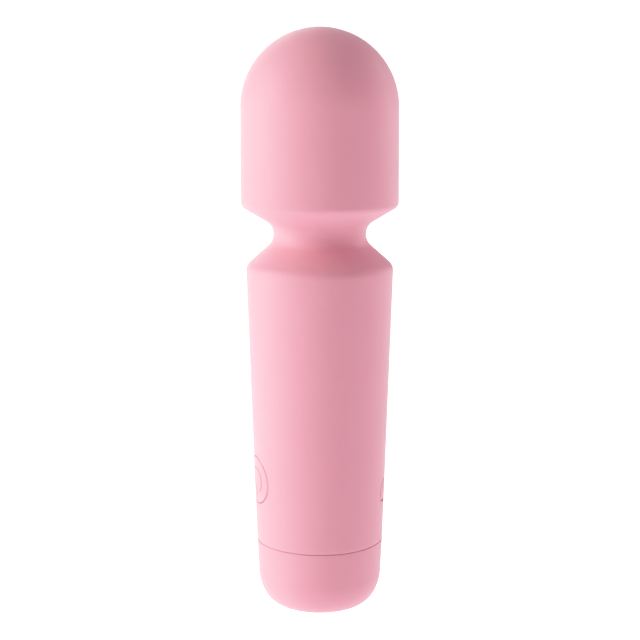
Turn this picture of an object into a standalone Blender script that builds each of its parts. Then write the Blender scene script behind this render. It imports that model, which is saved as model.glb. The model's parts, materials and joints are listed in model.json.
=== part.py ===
"""Handheld mini wand massager: rounded head on a flexible neck, tapered handle, removable base cap.

Blender 4.5, metres, +Z up. Origin: middle of the flat base. The power button faces -Y.
Dimensions below are millimetres; M() turns them into metres when a mesh is made.
"""

import math

import bmesh
import bpy
from mathutils import Matrix, Vector

# ------------------------------------------------------------------ driving dimensions (mm)
BASE_CORNER_H = 7.1      # height of the rounded lower edge
BASE_CORNER_R = 11.96    # radius where the rounded edge meets the taper
BASE_CURVE_R = 7.2       # radius the rounded edge is drawn about
BASE_CURVE_CUT = 0.2     # how far its curve is cut off by the flat underside
SEAM_Z = 13.3            # parting line between base cap and sleeve
SEAM_GAP = 0.3
SEAM_R = 12.27
SHOULDER_R = 14.06       # widest point of the handle
SHOULDER_Z = 66.7
SHOULDER_FILLET = 2.0
THROAT_R = 6.85          # where the two neck cones would meet
THROAT_Z = 73.14
THROAT_FILLET = 2.95     # leaves a neck 17.7 mm across
HEAD_EDGE_R = 15.0
HEAD_EDGE_Z = 78.1
HEAD_EDGE_FILLET = 1.4
DOME_R = 14.9
DOME_Z = 96.58           # centre of the dome, so the top is at 111.5

SLEEVE_T = 1.5           # silicone on the handle
HEAD_SLEEVE_T = 1.4      # silicone on the head
FIT = 0.2                # clearance between the silicone and the hard shell
SHELL_T = 1.3            # hard shell wall

NECK_PIVOT_Z = 72.7      # middle of the flexible neck
NECK_LOW_Z = 67.6        # the neck sleeve spans these two heights
NECK_HIGH_Z = 77.2
NECK_BORE_R = 7.0

BUTTON_Z = 25.5          # power button centre height, on -Y
BUTTON_R = 4.43
BUTTON_HOLE_R = 4.85
BUTTON_TRAVEL = 0.4
PORT_Z = 23.1            # charging port centre height
PORT_ANGLE = 60.5        # degrees from +X, seen from above
PORT_HOLE_R = 2.35
BUNG_R = 2.02

CELL_R = 6.0             # round lithium cell
CELL_LENGTH = 30.0
CELL_Y = 3.4
CELL_Z = 28.2            # lower end

PCB_HALF_WIDTH = 5.5
PCB_FRONT_Y = -6.7
PCB_T = 1.0
PCB_LOW_Z = 18.6
PCB_HIGH_Z = 55.2

CAN_R = 8.0              # motor can
CAN_LOW_Z = 86.2
CAN_HIGH_Z = 99.2
SHAFT_R = 1.0

SCREW_SPOTS = ((-8.1, 29.4), (8.1, 29.4), (-8.2, 58.2), (8.2, 58.2))   # x, z

ROUND = 40               # sides of the outer turned parts
INNER = 32               # sides of the large hidden ones
SMALL = 24               # sides of the small ones


def M(value):
    return value * 0.001


# ------------------------------------------------------------------ scene and materials
for old in list(bpy.data.objects):
    bpy.data.objects.remove(old, do_unlink=True)

parts = bpy.data.collections.new("wand_massager")
bpy.context.scene.collection.children.link(parts)
cutters = bpy.data.collections.new("cutters")
bpy.context.scene.collection.children.link(cutters)


def material(name, colour, roughness, metallic=0.0):
    made = bpy.data.materials.new(name)
    made.use_nodes = True
    shader = made.node_tree.nodes["Principled BSDF"]
    shader.inputs["Base Color"].default_value = (*colour, 1.0)
    shader.inputs["Roughness"].default_value = roughness
    shader.inputs["Metallic"].default_value = metallic
    made.diffuse_color = (*colour, 1.0)
    return made


PINK = (0.80, 0.36, 0.43)
WHITE = (0.82, 0.82, 0.80)
STEEL = (0.62, 0.62, 0.63)
BRASS = (0.72, 0.55, 0.25)
COPPER = (0.70, 0.36, 0.22)


# ------------------------------------------------------------------ bodies: one empty on each joint's axis
def frame(name, location, rotation=(0.0, 0.0, 0.0)):
    empty = bpy.data.objects.new(name, None)
    empty.location = [M(v) for v in location]
    empty.rotation_euler = [math.radians(v) for v in rotation]
    parts.objects.link(empty)
    return empty


handle_frame = frame("frame_handle", (0, 0, 0))
cap_frame = frame("frame_base_cap", (0, 0, 0))
neck_frame = frame("frame_neck", (0, 0, NECK_PIVOT_Z))
head_frame = frame("frame_head", (0, 0, NECK_PIVOT_Z))
rotor_frame = frame("frame_rotor", (0, 0, CAN_LOW_Z))
# In these two frames local +Z points straight out of the handle and local +Y points up.
button_frame = frame("frame_button", (0, 0, BUTTON_Z), (90, 0, 0))
port_frame = frame("frame_port", (0, 0, PORT_Z), (90, 0, PORT_ANGLE + 90))


def place(obj, parent, look=None):
    obj.parent = parent
    if look:
        obj.data.materials.clear()
        obj.data.materials.append(look)
    return obj


# ------------------------------------------------------------------ shape helpers
def link(name, data, cutter=False):
    obj = bpy.data.objects.new(name, data)
    (cutters if cutter else parts).objects.link(obj)
    if cutter:
        obj.hide_render = True
        obj.display_type = "WIRE"
    return obj


def turned(name, profile, parent, look=None, sides=ROUND, closed=False, z_shift=0.0, cutter=False):
    """A profile of (radius, height) in mm, running down its outer side, turned about Z."""
    mesh = bpy.data.meshes.new(name)
    count = len(profile)
    edges = [(i, i + 1) for i in range(count - 1)]
    if closed:
        edges.append((count - 1, 0))
    mesh.from_pydata([(M(r), 0.0, M(z - z_shift)) for r, z in profile], edges, [])
    obj = link(name, mesh, cutter)
    screw = obj.modifiers.new("turn", "SCREW")
    screw.axis = "Z"
    screw.angle = 2 * math.pi
    screw.steps = screw.render_steps = sides
    screw.use_merge_vertices = True
    screw.merge_threshold = 0.00001
    screw.use_smooth_shade = True
    place(obj, parent, look)
    return obj


def box(name, low, high, parent, look=None, bevel=0.0, cutter=False):
    """A box between two corners in mm, in the parent's frame, with its origin at its middle."""
    middle = [(a + b) / 2 for a, b in zip(low, high)]
    size = [b - a for a, b in zip(low, high)]
    mesh = bpy.data.meshes.new(name)
    shape = bmesh.new()
    bmesh.ops.create_cube(shape, size=1.0)
    bmesh.ops.scale(shape, vec=[M(s) for s in size], verts=shape.verts)
    shape.to_mesh(mesh)
    shape.free()
    obj = link(name, mesh, cutter)
    obj.location = [M(v) for v in middle]
    if bevel:
        edge = obj.modifiers.new("edges", "BEVEL")
        edge.width = M(bevel)
        edge.segments = 2
    place(obj, parent, look)
    return obj


def rod(name, radius, low, high, parent, look=None, sides=SMALL, at=(0.0, 0.0), along="Z", cutter=False):
    """A round bar in mm along one axis of the parent's frame; at gives the other two coordinates in X, Y, Z order."""
    mesh = bpy.data.meshes.new(name)
    shape = bmesh.new()
    bmesh.ops.create_cone(shape, cap_ends=True, segments=sides, radius1=M(radius), radius2=M(radius), depth=M(high - low))
    if along == "Y":
        bmesh.ops.rotate(shape, verts=shape.verts, cent=(0, 0, 0), matrix=Matrix.Rotation(-math.pi / 2, 3, "X"))
    elif along == "X":
        bmesh.ops.rotate(shape, verts=shape.verts, cent=(0, 0, 0), matrix=Matrix.Rotation(math.pi / 2, 3, "Y"))
    shape.to_mesh(mesh)
    shape.free()
    obj = link(name, mesh, cutter)
    middle = (low + high) / 2
    spot = {"Z": (at[0], at[1], middle), "Y": (at[0], middle, at[1]), "X": (middle, at[0], at[1])}[along]
    obj.location = [M(v) for v in spot]
    place(obj, parent, look)
    return obj


def boolean(obj, other, operation="DIFFERENCE"):
    step = obj.modifiers.new(operation.lower() + "_" + other.name, "BOOLEAN")
    step.operation = operation
    step.solver = "EXACT"
    step.object = other
    return obj


def fillet(corner, before, after, radius, count):
    """Points of the arc that rounds a corner of a profile, from the side of `before` to the side of `after`."""
    p = Vector(corner)
    a = (Vector(before) - p).normalized()
    b = (Vector(after) - p).normalized()
    half = a.angle(b) / 2
    centre = p + (a + b).normalized() * (radius / math.sin(half))
    start = p + a * (radius / math.tan(half)) - centre
    stop = p + b * (radius / math.tan(half)) - centre
    t0 = math.atan2(start.y, start.x)
    turn = (math.atan2(stop.y, stop.x) - t0 + math.pi) % (2 * math.pi) - math.pi
    return [
        (centre.x + radius * math.cos(t0 + turn * i / (count - 1)), centre.y + radius * math.sin(t0 + turn * i / (count - 1)))
        for i in range(count)
    ]


def line_at(a, b, z):
    """Radius at height z on the straight line through two profile points."""
    return a[0] + (b[0] - a[0]) * (z - a[1]) / (b[1] - a[1])


def handle_r(z):
    return line_at((SEAM_R, SEAM_Z), (SHOULDER_R, SHOULDER_Z), z)


def dome(radius, top_to_equator, count):
    """Quarter circle about (0, DOME_Z), from the pole down to the equator, or back up."""
    points = [(radius * math.sin(math.pi / 2 * i / count), DOME_Z + radius * math.cos(math.pi / 2 * i / count)) for i in range(count + 1)]
    points[0] = (0.0, points[0][1])
    return points if top_to_equator else points[::-1]


SHOULDER = (SHOULDER_R, SHOULDER_Z)
THROAT = (THROAT_R, THROAT_Z)
HEAD_EDGE = (HEAD_EDGE_R, HEAD_EDGE_Z)
shoulder_arc = fillet(SHOULDER, THROAT, (SEAM_R, SEAM_Z), SHOULDER_FILLET, 5)      # top to bottom
throat_arc = fillet(THROAT, HEAD_EDGE, SHOULDER, THROAT_FILLET, 9)                 # top to bottom
head_arc = fillet(HEAD_EDGE, (DOME_R, DOME_Z), THROAT, HEAD_EDGE_FILLET, 5)        # top to bottom

# ------------------------------------------------------------------ silicone skin: head, neck and handle sleeves
HEAD_LOW_Z = NECK_HIGH_Z + SEAM_GAP
head_sleeve = turned(
    "head_sleeve",
    dome(DOME_R, True, 9)
    + head_arc
    + [(line_at(THROAT, HEAD_EDGE, HEAD_LOW_Z), HEAD_LOW_Z), (NECK_BORE_R + 0.2, HEAD_LOW_Z), (NECK_BORE_R + 0.2, 79.2), (DOME_R - HEAD_SLEEVE_T, 79.2)]
    + dome(DOME_R - HEAD_SLEEVE_T, False, 7),
    head_frame,
    material("silicone_head", PINK, 0.55),
    z_shift=NECK_PIVOT_Z,
)

neck_sleeve = turned(
    "neck_sleeve",
    [(line_at(THROAT, HEAD_EDGE, NECK_HIGH_Z), NECK_HIGH_Z)]
    + throat_arc
    + [(line_at(SHOULDER, THROAT, NECK_LOW_Z), NECK_LOW_Z), (NECK_BORE_R, NECK_LOW_Z), (NECK_BORE_R, NECK_HIGH_Z)],
    neck_frame,
    material("silicone_neck", PINK, 0.55),
    closed=True,
    z_shift=NECK_PIVOT_Z,
)

SLEEVE_LOW_Z = SEAM_Z + SEAM_GAP / 2
SLEEVE_HIGH_Z = shoulder_arc[0][1]
PLATE_TOP_Z = 65.6
handle_sleeve = turned(
    "handle_sleeve",
    shoulder_arc
    + [
        (handle_r(40), 40.0),
        (handle_r(SLEEVE_LOW_Z), SLEEVE_LOW_Z),
        (handle_r(SLEEVE_LOW_Z) - SLEEVE_T, SLEEVE_LOW_Z),
        (handle_r(40) - SLEEVE_T, 40.0),
        (handle_r(PLATE_TOP_Z + 0.2) - SLEEVE_T, PLATE_TOP_Z + 0.2),
        (NECK_BORE_R + 0.2, PLATE_TOP_Z + 0.2),
        (NECK_BORE_R + 0.2, SLEEVE_HIGH_Z),
    ],
    handle_frame,
    material("silicone_handle", PINK, 0.55),
    closed=True,
)
boolean(handle_sleeve, rod("cut_button_hole", BUTTON_HOLE_R, 8.0, 16.0, button_frame, sides=32, cutter=True))
boolean(handle_sleeve, rod("cut_port_hole", PORT_HOLE_R, 8.0, 16.0, port_frame, sides=SMALL, cutter=True))

# ------------------------------------------------------------------ hard shell of the handle, in two halves
CHASSIS_LOW_Z = SLEEVE_LOW_Z
PLATE_LOW_Z = 64.1


def chassis_half(name, side, look):
    """Half of the handle's hard shell: side is -1 for the front half and +1 for the rear one."""
    half = turned(
        name,
        [
            (handle_r(PLATE_TOP_Z) - SLEEVE_T - FIT, PLATE_TOP_Z),
            (handle_r(40) - SLEEVE_T - FIT, 40.0),
            (handle_r(CHASSIS_LOW_Z) - SLEEVE_T - FIT, CHASSIS_LOW_Z),
            (handle_r(CHASSIS_LOW_Z) - SLEEVE_T - FIT - SHELL_T, CHASSIS_LOW_Z),
            (handle_r(40) - SLEEVE_T - FIT - SHELL_T, 40.0),
            (handle_r(PLATE_LOW_Z) - SLEEVE_T - FIT - SHELL_T, PLATE_LOW_Z),
            (NECK_BORE_R - 0.1, PLATE_LOW_Z),
            (NECK_BORE_R - 0.1, PLATE_TOP_Z),
        ],
        handle_frame,
        look,
        sides=INNER,
        closed=True,
    )
    for i, (x, z) in enumerate(SCREW_SPOTS):
        wall = math.sqrt((handle_r(z) - SLEEVE_T - FIT - SHELL_T / 2) ** 2 - x * x)
        low, high = sorted((0.0, side * (wall - 1.3)))
        boolean(half, rod(f"add_{name}_boss_{i}", 1.75, low, high, handle_frame, sides=20, at=(x, z), along="Y", cutter=True), "UNION")
    low, high = sorted((-side * 20.0, side * 0.15))
    boolean(half, box(f"cut_{name}_half", (-20, low, 5), (20, high, 75), handle_frame, cutter=True))
    return half


chassis_front = chassis_half("chassis_front", -1, material("abs_front", WHITE, 0.4))
chassis_rear = chassis_half("chassis_rear", 1, material("abs_rear", WHITE, 0.4))
for side in (-1, 1):
    low, high = sorted((side * 5.0, side * 8.6))
    boolean(chassis_front, box(f"add_rail_{side + 1}", (low, -5.5, 36.0), (high, -4.6, 50.0), handle_frame, cutter=True), "UNION")
for i, low in enumerate((33.6, 52.6)):
    reach = math.sqrt((handle_r(low) - SLEEVE_T - FIT - 0.4) ** 2 - 7.0**2)
    cradle = box(f"add_cradle_{i}", (-7.0, 3.5, low), (7.0, reach, low + 1.2), handle_frame, cutter=True)
    boolean(cradle, rod(f"cut_cell_room_{i}", CELL_R + 0.25, low - 2, low + 4, handle_frame, at=(0.0, CELL_Y), cutter=True))
    boolean(chassis_rear, cradle, "UNION")
boolean(chassis_front, rod("cut_key_hole", BUTTON_R + 0.15, 5.0, 14.0, button_frame, sides=32, cutter=True))
boolean(chassis_front, rod("cut_led_window", 1.0, 5.0, 14.0, button_frame, sides=12, at=(0.0, 9.7), cutter=True))
boolean(chassis_rear, rod("cut_jack_hole", 2.8, 4.0, 14.0, port_frame, sides=SMALL, cutter=True))
for i, (x, z) in enumerate(SCREW_SPOTS):
    boolean(chassis_front, rod(f"cut_pilot_{i}", 0.85, -4.6, 1.0, handle_frame, sides=12, at=(x, z), along="Y", cutter=True))
    boolean(chassis_rear, rod(f"cut_clearance_{i}", 1.0, -1.0, 8.0, handle_frame, sides=12, at=(x, z), along="Y", cutter=True))
    boolean(chassis_rear, rod(f"cut_head_seat_{i}", 1.55, 4.3, 12.0, handle_frame, sides=16, at=(x, z), along="Y", cutter=True))
    # Self-tapping screw: pan head, shank and point are one turned piece about its own axis.
    screw_body = turned(
        f"chassis_screw_{i + 1}",
        [(0.0, 5.5), (1.0, 5.45), (1.35, 5.1), (1.35, 4.4), (0.75, 4.4), (0.75, -3.6), (0.0, -4.3)],
        handle_frame,
        material(f"steel_screw_{i + 1}", STEEL, 0.3, 1.0),
        sides=12,
    )
    screw_body.location = (M(x), 0.0, M(z))
    screw_body.rotation_euler = (math.radians(-90), 0.0, 0.0)
    boolean(screw_body, box(f"cut_slot_a_{i}", (x - 0.75, 5.1, z - 0.13), (x + 0.75, 6.0, z + 0.13), handle_frame, cutter=True))
    boolean(screw_body, box(f"cut_slot_b_{i}", (x - 0.13, 5.1, z - 0.75), (x + 0.13, 6.0, z + 0.75), handle_frame, cutter=True))

# ------------------------------------------------------------------ base cap: soft outer cap, hard plug inside it, O-ring
CAP_TOP_Z = SEAM_Z - SEAM_GAP / 2


def base_corner(count):
    """Rounded lower edge from its top down to the flat underside: part of an ellipse."""
    tall = BASE_CORNER_H + BASE_CURVE_CUT
    last = math.asin(BASE_CORNER_H / tall)
    turns = [last * i / count for i in range(count + 1)]
    points = [(BASE_CURVE_R + (BASE_CORNER_R - BASE_CURVE_R) * math.cos(u), BASE_CORNER_H - tall * math.sin(u)) for u in turns]
    return points[:-1] + [(points[-1][0], 0.0)]


cap_wall = 1.5


def cap_hollow(inset, count):
    """Inside of the base cap from its floor up, set in from the outer surface."""
    low, side = inset + 0.2, BASE_CORNER_R - inset
    return [
        (BASE_CURVE_R - 0.6 + (side - BASE_CURVE_R + 0.6) * math.sin(u), low + (BASE_CORNER_H - low) * (1 - math.cos(u)))
        for u in (math.pi / 2 * i / count for i in range(count + 1))
    ]


base_cap = turned(
    "base_cap",
    [(handle_r(CAP_TOP_Z), CAP_TOP_Z)]
    + base_corner(8)
    + [(0.0, 0.0), (0.0, cap_hollow(cap_wall, 4)[0][1])]
    + cap_hollow(cap_wall, 4)
    + [(handle_r(CAP_TOP_Z) - cap_wall, CAP_TOP_Z)],
    cap_frame,
    material("soft_cap", PINK, 0.5),
    closed=True,
)
cap_insert = turned(
    "base_cap_plug",
    [(7.6, 17.6), (8.9, 17.6), (8.9, 15.8), (8.3, 15.8), (8.3, 14.4), (8.9, 14.4), (8.9, CAP_TOP_Z), (handle_r(CAP_TOP_Z) - cap_wall - 0.2, CAP_TOP_Z)]
    + cap_hollow(cap_wall + 0.22, 4)[::-1]
    + [(0.0, cap_hollow(cap_wall + 0.22, 4)[0][1]), (0.0, 10.0), (6.6, 10.0), (7.6, 11.0)],
    cap_frame,
    material("turned_plug", STEEL, 0.35, 1.0),
    sides=INNER,
    closed=True,
)
turned(
    "base_o_ring",
    [(8.78 + 0.42 * math.cos(math.pi / 2 - 2 * math.pi * i / 8), 15.1 + 0.42 * math.sin(math.pi / 2 - 2 * math.pi * i / 8)) for i in range(8)],
    cap_frame,
    material("rubber_o_ring", (0.03, 0.03, 0.03), 0.6),
    sides=INNER,
    closed=True,
)

# ------------------------------------------------------------------ flexible neck core: a rubber spool with three folds
LOW_FLANGE = (62.2, 63.8)
HIGH_FLANGE = (81.3, 82.6)
CORE_R, CORE_WAIST_R, CORE_BORE_R = 6.4, 5.0, 3.2
folds = []
for i in range(3):
    top = 77.4 - i * 3.2
    folds += [(CORE_R, top), (CORE_WAIST_R, top - 0.8), (CORE_WAIST_R, top - 1.6), (CORE_R, top - 2.4)]
turned(
    "neck_core",
    [(8.8, HIGH_FLANGE[1]), (8.8, HIGH_FLANGE[0]), (CORE_R, HIGH_FLANGE[0])]
    + folds
    + [(CORE_R, LOW_FLANGE[1]), (8.8, LOW_FLANGE[1]), (8.8, LOW_FLANGE[0]), (CORE_BORE_R, LOW_FLANGE[0]), (CORE_BORE_R, HIGH_FLANGE[1])],
    neck_frame,
    material("rubber_core", (0.09, 0.09, 0.10), 0.7),
    sides=SMALL,
    closed=True,
    z_shift=NECK_PIVOT_Z,
)

# ------------------------------------------------------------------ head: hard shell in two cups, and the motor's rubber mount
SHELL_R = DOME_R - HEAD_SLEEVE_T - FIT
JOIN_Z = 96.5
turned(
    "head_shell_lower",
    [
        (SHELL_R, JOIN_Z - 0.15), (SHELL_R, 80.4), (SHELL_R - 0.9, 79.5), (NECK_BORE_R - 0.1, 79.5), (NECK_BORE_R - 0.1, 81.0),
        (SHELL_R - 1.2, 81.0), (SHELL_R - 1.2, JOIN_Z - 0.15),
    ],
    head_frame,
    material("abs_head_lower", WHITE, 0.4),
    sides=INNER,
    closed=True,
    z_shift=NECK_PIVOT_Z,
)
shell_outer = dome(SHELL_R, True, 7)
shell_outer[-1] = (SHELL_R, JOIN_Z + 0.05)
turned(
    "head_shell_upper",
    shell_outer
    + [(SHELL_R - 1.4, JOIN_Z + 0.05), (SHELL_R - 1.4, 94.4), (SHELL_R - 2.3, 94.4)]
    + [(p[0], p[1]) for p in dome(SHELL_R - 1.2, False, 6)[1:]],
    head_frame,
    material("abs_head_upper", WHITE, 0.4),
    sides=INNER,
    z_shift=NECK_PIVOT_Z,
)
mount_points = turned(
    "motor_mount",
    [(CAN_R + 0.25, 94.0), (10.0, 94.0), (11.1, 93.0), (11.1, 87.8), (10.0, 86.8), (CAN_R + 0.25, 86.8)],
    head_frame,
    material("rubber_mount", (0.10, 0.10, 0.11), 0.7),
    sides=INNER,
    closed=True,
    z_shift=NECK_PIVOT_Z,
)
for i in range(4):
    a = math.radians(45 + 90 * i)
    boolean(mount_points, rod(f"cut_mount_{i}", 1.5, 85.0 - NECK_PIVOT_Z, 96.0 - NECK_PIVOT_Z, head_frame, sides=12, at=(11.2 * math.cos(a), 11.2 * math.sin(a)), cutter=True))

# ------------------------------------------------------------------ motor
turned(
    "motor_can",
    [
        (2.8, CAN_HIGH_Z + 0.5), (3.8, CAN_HIGH_Z + 0.5), (3.8, CAN_HIGH_Z), (CAN_R - 0.6, CAN_HIGH_Z), (CAN_R, CAN_HIGH_Z - 0.6), (CAN_R, CAN_LOW_Z),
        (CAN_R - 0.55, CAN_LOW_Z), (CAN_R - 0.55, CAN_HIGH_Z - 0.6), (2.8, CAN_HIGH_Z - 0.6),
    ],
    head_frame,
    material("zinc_can", STEEL, 0.35, 1.0),
    sides=32,
    closed=True,
    z_shift=NECK_PIVOT_Z,
)
turned(
    "motor_bush",
    [(2.6, CAN_HIGH_Z + 0.9), (2.6, CAN_HIGH_Z - 0.9), (SHAFT_R + 0.07, CAN_HIGH_Z - 0.9), (SHAFT_R + 0.07, CAN_HIGH_Z + 0.9)],
    head_frame,
    material("sintered_bush", BRASS, 0.45, 1.0),
    sides=SMALL,
    closed=True,
    z_shift=NECK_PIVOT_Z,
)
for name, centre_deg in (("motor_magnet_left", 180), ("motor_magnet_right", 0)):
    magnet = turned(
        name,
        [(CAN_R - 0.85, 97.2), (CAN_R - 0.85, 88.7), (6.2, 88.7), (6.2, 97.2)],
        head_frame,
        material(name + "_ferrite", (0.07, 0.07, 0.08), 0.5),
        sides=32,
        closed=True,
        z_shift=NECK_PIVOT_Z,
    )
    sign = 1 if centre_deg == 0 else -1
    low, high = sorted((sign * 3.4, -sign * 10.0))
    boolean(magnet, box(f"cut_{name}", (low, -10, 82 - NECK_PIVOT_Z), (high, 10, 102 - NECK_PIVOT_Z), head_frame, cutter=True))
end_cap = turned(
    "motor_end_cap",
    [
        (SHAFT_R + 0.07, 87.1), (2.2, 87.1), (2.2, 86.5), (CAN_R - 0.85, 86.5), (CAN_R - 0.85, 86.05), (CAN_R, 86.05), (CAN_R, 84.9), (2.4, 84.9), (2.4, 84.2),
        (0.0, 84.2), (0.0, 84.8), (SHAFT_R + 0.07, 84.8),
    ],
    head_frame,
    material("nylon_end_cap", (0.75, 0.74, 0.68), 0.5),
    sides=32,
    closed=True,
    z_shift=NECK_PIVOT_Z,
)
for side, name in ((-1, "motor_terminal_left"), (1, "motor_terminal_right")):
    x0, x1 = sorted((side * 4.3, side * 4.7))
    boolean(end_cap, box(f"cut_{name}", (x0 - 0.15, -1.15, 83 - NECK_PIVOT_Z), (x1 + 0.15, 1.15, 89 - NECK_PIVOT_Z), head_frame, cutter=True))
    # Brush leaf inside the motor and solder tab outside it are one bent strip.
    leaf = box(name, (x0, -1.0, 83.5 - NECK_PIVOT_Z), (x1, 1.0, 88.3 - NECK_PIVOT_Z), head_frame, material(name + "_bronze", BRASS, 0.35, 1.0))
    a, b = sorted((side * 2.6, side * 4.6))
    boolean(leaf, box(f"add_{name}_brush", (a, -0.8, 87.7 - NECK_PIVOT_Z), (b, 0.8, 88.2 - NECK_PIVOT_Z), head_frame, cutter=True), "UNION")

# ------------------------------------------------------------------ rotor: shaft, wound armature, commutator, eccentric weight
turned(
    "rotor_shaft",
    [(0.0, 105.2), (SHAFT_R - 0.15, 105.2), (SHAFT_R, 105.05), (SHAFT_R, 85.0), (0.0, 85.0)],
    rotor_frame,
    material("ground_shaft", STEEL, 0.2, 1.0),
    sides=SMALL,
    z_shift=CAN_LOW_Z,
)
turned(
    "commutator",
    [(2.3, 89.6), (2.3, 87.3), (SHAFT_R + 0.1, 87.3), (SHAFT_R + 0.1, 89.6)],
    rotor_frame,
    material("copper_commutator", COPPER, 0.3, 1.0),
    sides=SMALL,
    closed=True,
    z_shift=CAN_LOW_Z,
)


def three_pole(outer, neck_half, tip, span_deg):
    """Outline of a three-pole armature: wide pole faces on narrow stems round a hub."""
    points = []
    for k in range(3):
        base = math.radians(90 + 120 * k)
        half = math.radians(span_deg / 2)
        inner = outer - tip
        points.append((2.3, base - math.asin(neck_half / 2.3), True))
        points.append((inner, base - math.asin(neck_half / inner), True))
        points.append((inner, base - half, True))
        for s in range(5):
            points.append((outer, base - half + 2 * half * s / 4, True))
        points.append((inner, base + half, True))
        points.append((inner, base + math.asin(neck_half / inner), True))
        points.append((2.3, base + math.asin(neck_half / 2.3), True))
    return [(r * math.cos(a), r * math.sin(a)) for r, a, _ in points]


def extruded(name, outline, low, high, parent, look, z_shift=0.0):
    """A flat outline in mm made into a block between two heights."""
    curve = bpy.data.curves.new(name + "_outline", "CURVE")
    curve.dimensions = "2D"
    curve.fill_mode = "BOTH"
    curve.extrude = M(high - low) / 2
    spline = curve.splines.new("POLY")
    spline.points.add(len(outline) - 1)
    for point, (x, y) in zip(spline.points, outline):
        point.co = (M(x), M(y), 0.0, 1.0)
    spline.use_cyclic_u = True
    guide = bpy.data.objects.new(name + "_guide", curve)
    parts.objects.link(guide)
    guide.location = (0.0, 0.0, M((low + high) / 2 - z_shift))
    bpy.context.view_layer.update()
    graph = bpy.context.evaluated_depsgraph_get()
    mesh = bpy.data.meshes.new_from_object(guide.evaluated_get(graph))
    shape = bmesh.new()
    shape.from_mesh(mesh)
    bmesh.ops.remove_doubles(shape, verts=shape.verts, dist=0.000001)
    bmesh.ops.recalc_face_normals(shape, faces=shape.faces)
    shape.to_mesh(mesh)
    shape.free()
    obj = link(name, mesh)
    obj.matrix_world = guide.matrix_world
    location = obj.location.copy()
    bpy.data.objects.remove(guide)
    obj.location = location
    place(obj, parent, look)
    return obj


armature = extruded("armature", three_pole(5.5, 0.9, 0.8, 92), 90.2, 96.4, rotor_frame, material("laminated_iron", (0.35, 0.34, 0.33), 0.5, 1.0), z_shift=CAN_LOW_Z)
boolean(armature, rod("cut_armature_bore", SHAFT_R + 0.1, 0.0, 20.0, rotor_frame, cutter=True))

weight_outline = [(6.0 * math.cos(math.radians(a)), 6.0 * math.sin(math.radians(a))) for a in range(-80, 81, 10)]
weight_outline += [(2.6 * math.cos(math.radians(a)), 2.6 * math.sin(math.radians(a))) for a in range(100, 261, 20)]
weight = extruded("eccentric_weight", weight_outline, 100.7, 104.4, rotor_frame, material("sintered_tungsten", (0.42, 0.42, 0.44), 0.4, 1.0), z_shift=CAN_LOW_Z)
boolean(weight, rod("cut_weight_bore", SHAFT_R + 0.1, 10.0, 25.0, rotor_frame, cutter=True))

# ------------------------------------------------------------------ power button: silicone pad, hard key under it, switch plunger
pad_face = handle_r(BUTTON_Z)
turned(
    "power_button",
    [(0.0, pad_face + 0.16), (2.0, pad_face + 0.11), (3.6, pad_face - 0.12), (BUTTON_R - 0.2, pad_face - 0.38), (BUTTON_R, pad_face - 0.6), (BUTTON_R, 11.15), (0.0, 11.15)],
    button_frame,
    material("silicone_button", PINK, 0.55),
    sides=32,
)
turned(
    "button_key",
    [(0.0, 11.0), (3.9, 11.0), (4.0, 10.9), (4.0, 10.2), (1.4, 10.2), (1.4, 9.95), (0.0, 9.95)],
    button_frame,
    material("abs_key", WHITE, 0.4),
    sides=SMALL,
)
turned(
    "switch_plunger",
    [(0.0, 9.85), (1.35, 9.85), (1.5, 9.7), (1.5, 8.45), (0.0, 8.45)],
    button_frame,
    material("switch_black", (0.03, 0.03, 0.03), 0.5),
    sides=16,
)

# ------------------------------------------------------------------ electronics
box("pcb", (-PCB_HALF_WIDTH, PCB_FRONT_Y, PCB_LOW_Z), (PCB_HALF_WIDTH, PCB_FRONT_Y + PCB_T, PCB_HIGH_Z), handle_frame, material("green_board", (0.02, 0.18, 0.08), 0.4))
switch = box("tact_switch", (-3.0, -8.9, BUTTON_Z - 3.0), (3.0, PCB_FRONT_Y - 0.1, BUTTON_Z + 3.0), handle_frame, material("switch_body", (0.55, 0.55, 0.56), 0.35, 0.8))
boolean(switch, rod("cut_plunger_well", 1.7, 7.9, 12.0, button_frame, sides=16, cutter=True))
box("status_led", (-0.8, -7.6, 34.8), (0.8, PCB_FRONT_Y - 0.1, 35.6), handle_frame, material("led_lens", (0.9, 0.9, 0.85), 0.2))
box("control_chip", (-2.5, PCB_FRONT_Y + PCB_T + 0.1, 37.2), (2.5, PCB_FRONT_Y + PCB_T + 1.4, 41.1), handle_frame, material("chip_black", (0.02, 0.02, 0.02), 0.5))
turned(
    "battery_cell",
    [
        (0.0, CELL_Z + CELL_LENGTH), (2.2, CELL_Z + CELL_LENGTH), (2.2, CELL_Z + CELL_LENGTH - 0.8), (CELL_R - 0.5, CELL_Z + CELL_LENGTH - 0.8),
        (CELL_R, CELL_Z + CELL_LENGTH - 1.2), (CELL_R, CELL_Z + 0.4), (CELL_R - 0.4, CELL_Z), (0.0, CELL_Z),
    ],
    handle_frame,
    material("cell_case", (0.70, 0.71, 0.72), 0.35, 1.0),
    sides=SMALL,
).location = (0.0, M(CELL_Y), 0.0)
box("battery_pad", (-3.6, -4.4, 43.2), (3.6, -2.9, 53.4), handle_frame, material("foam_pad", (0.12, 0.12, 0.13), 0.9))

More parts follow.
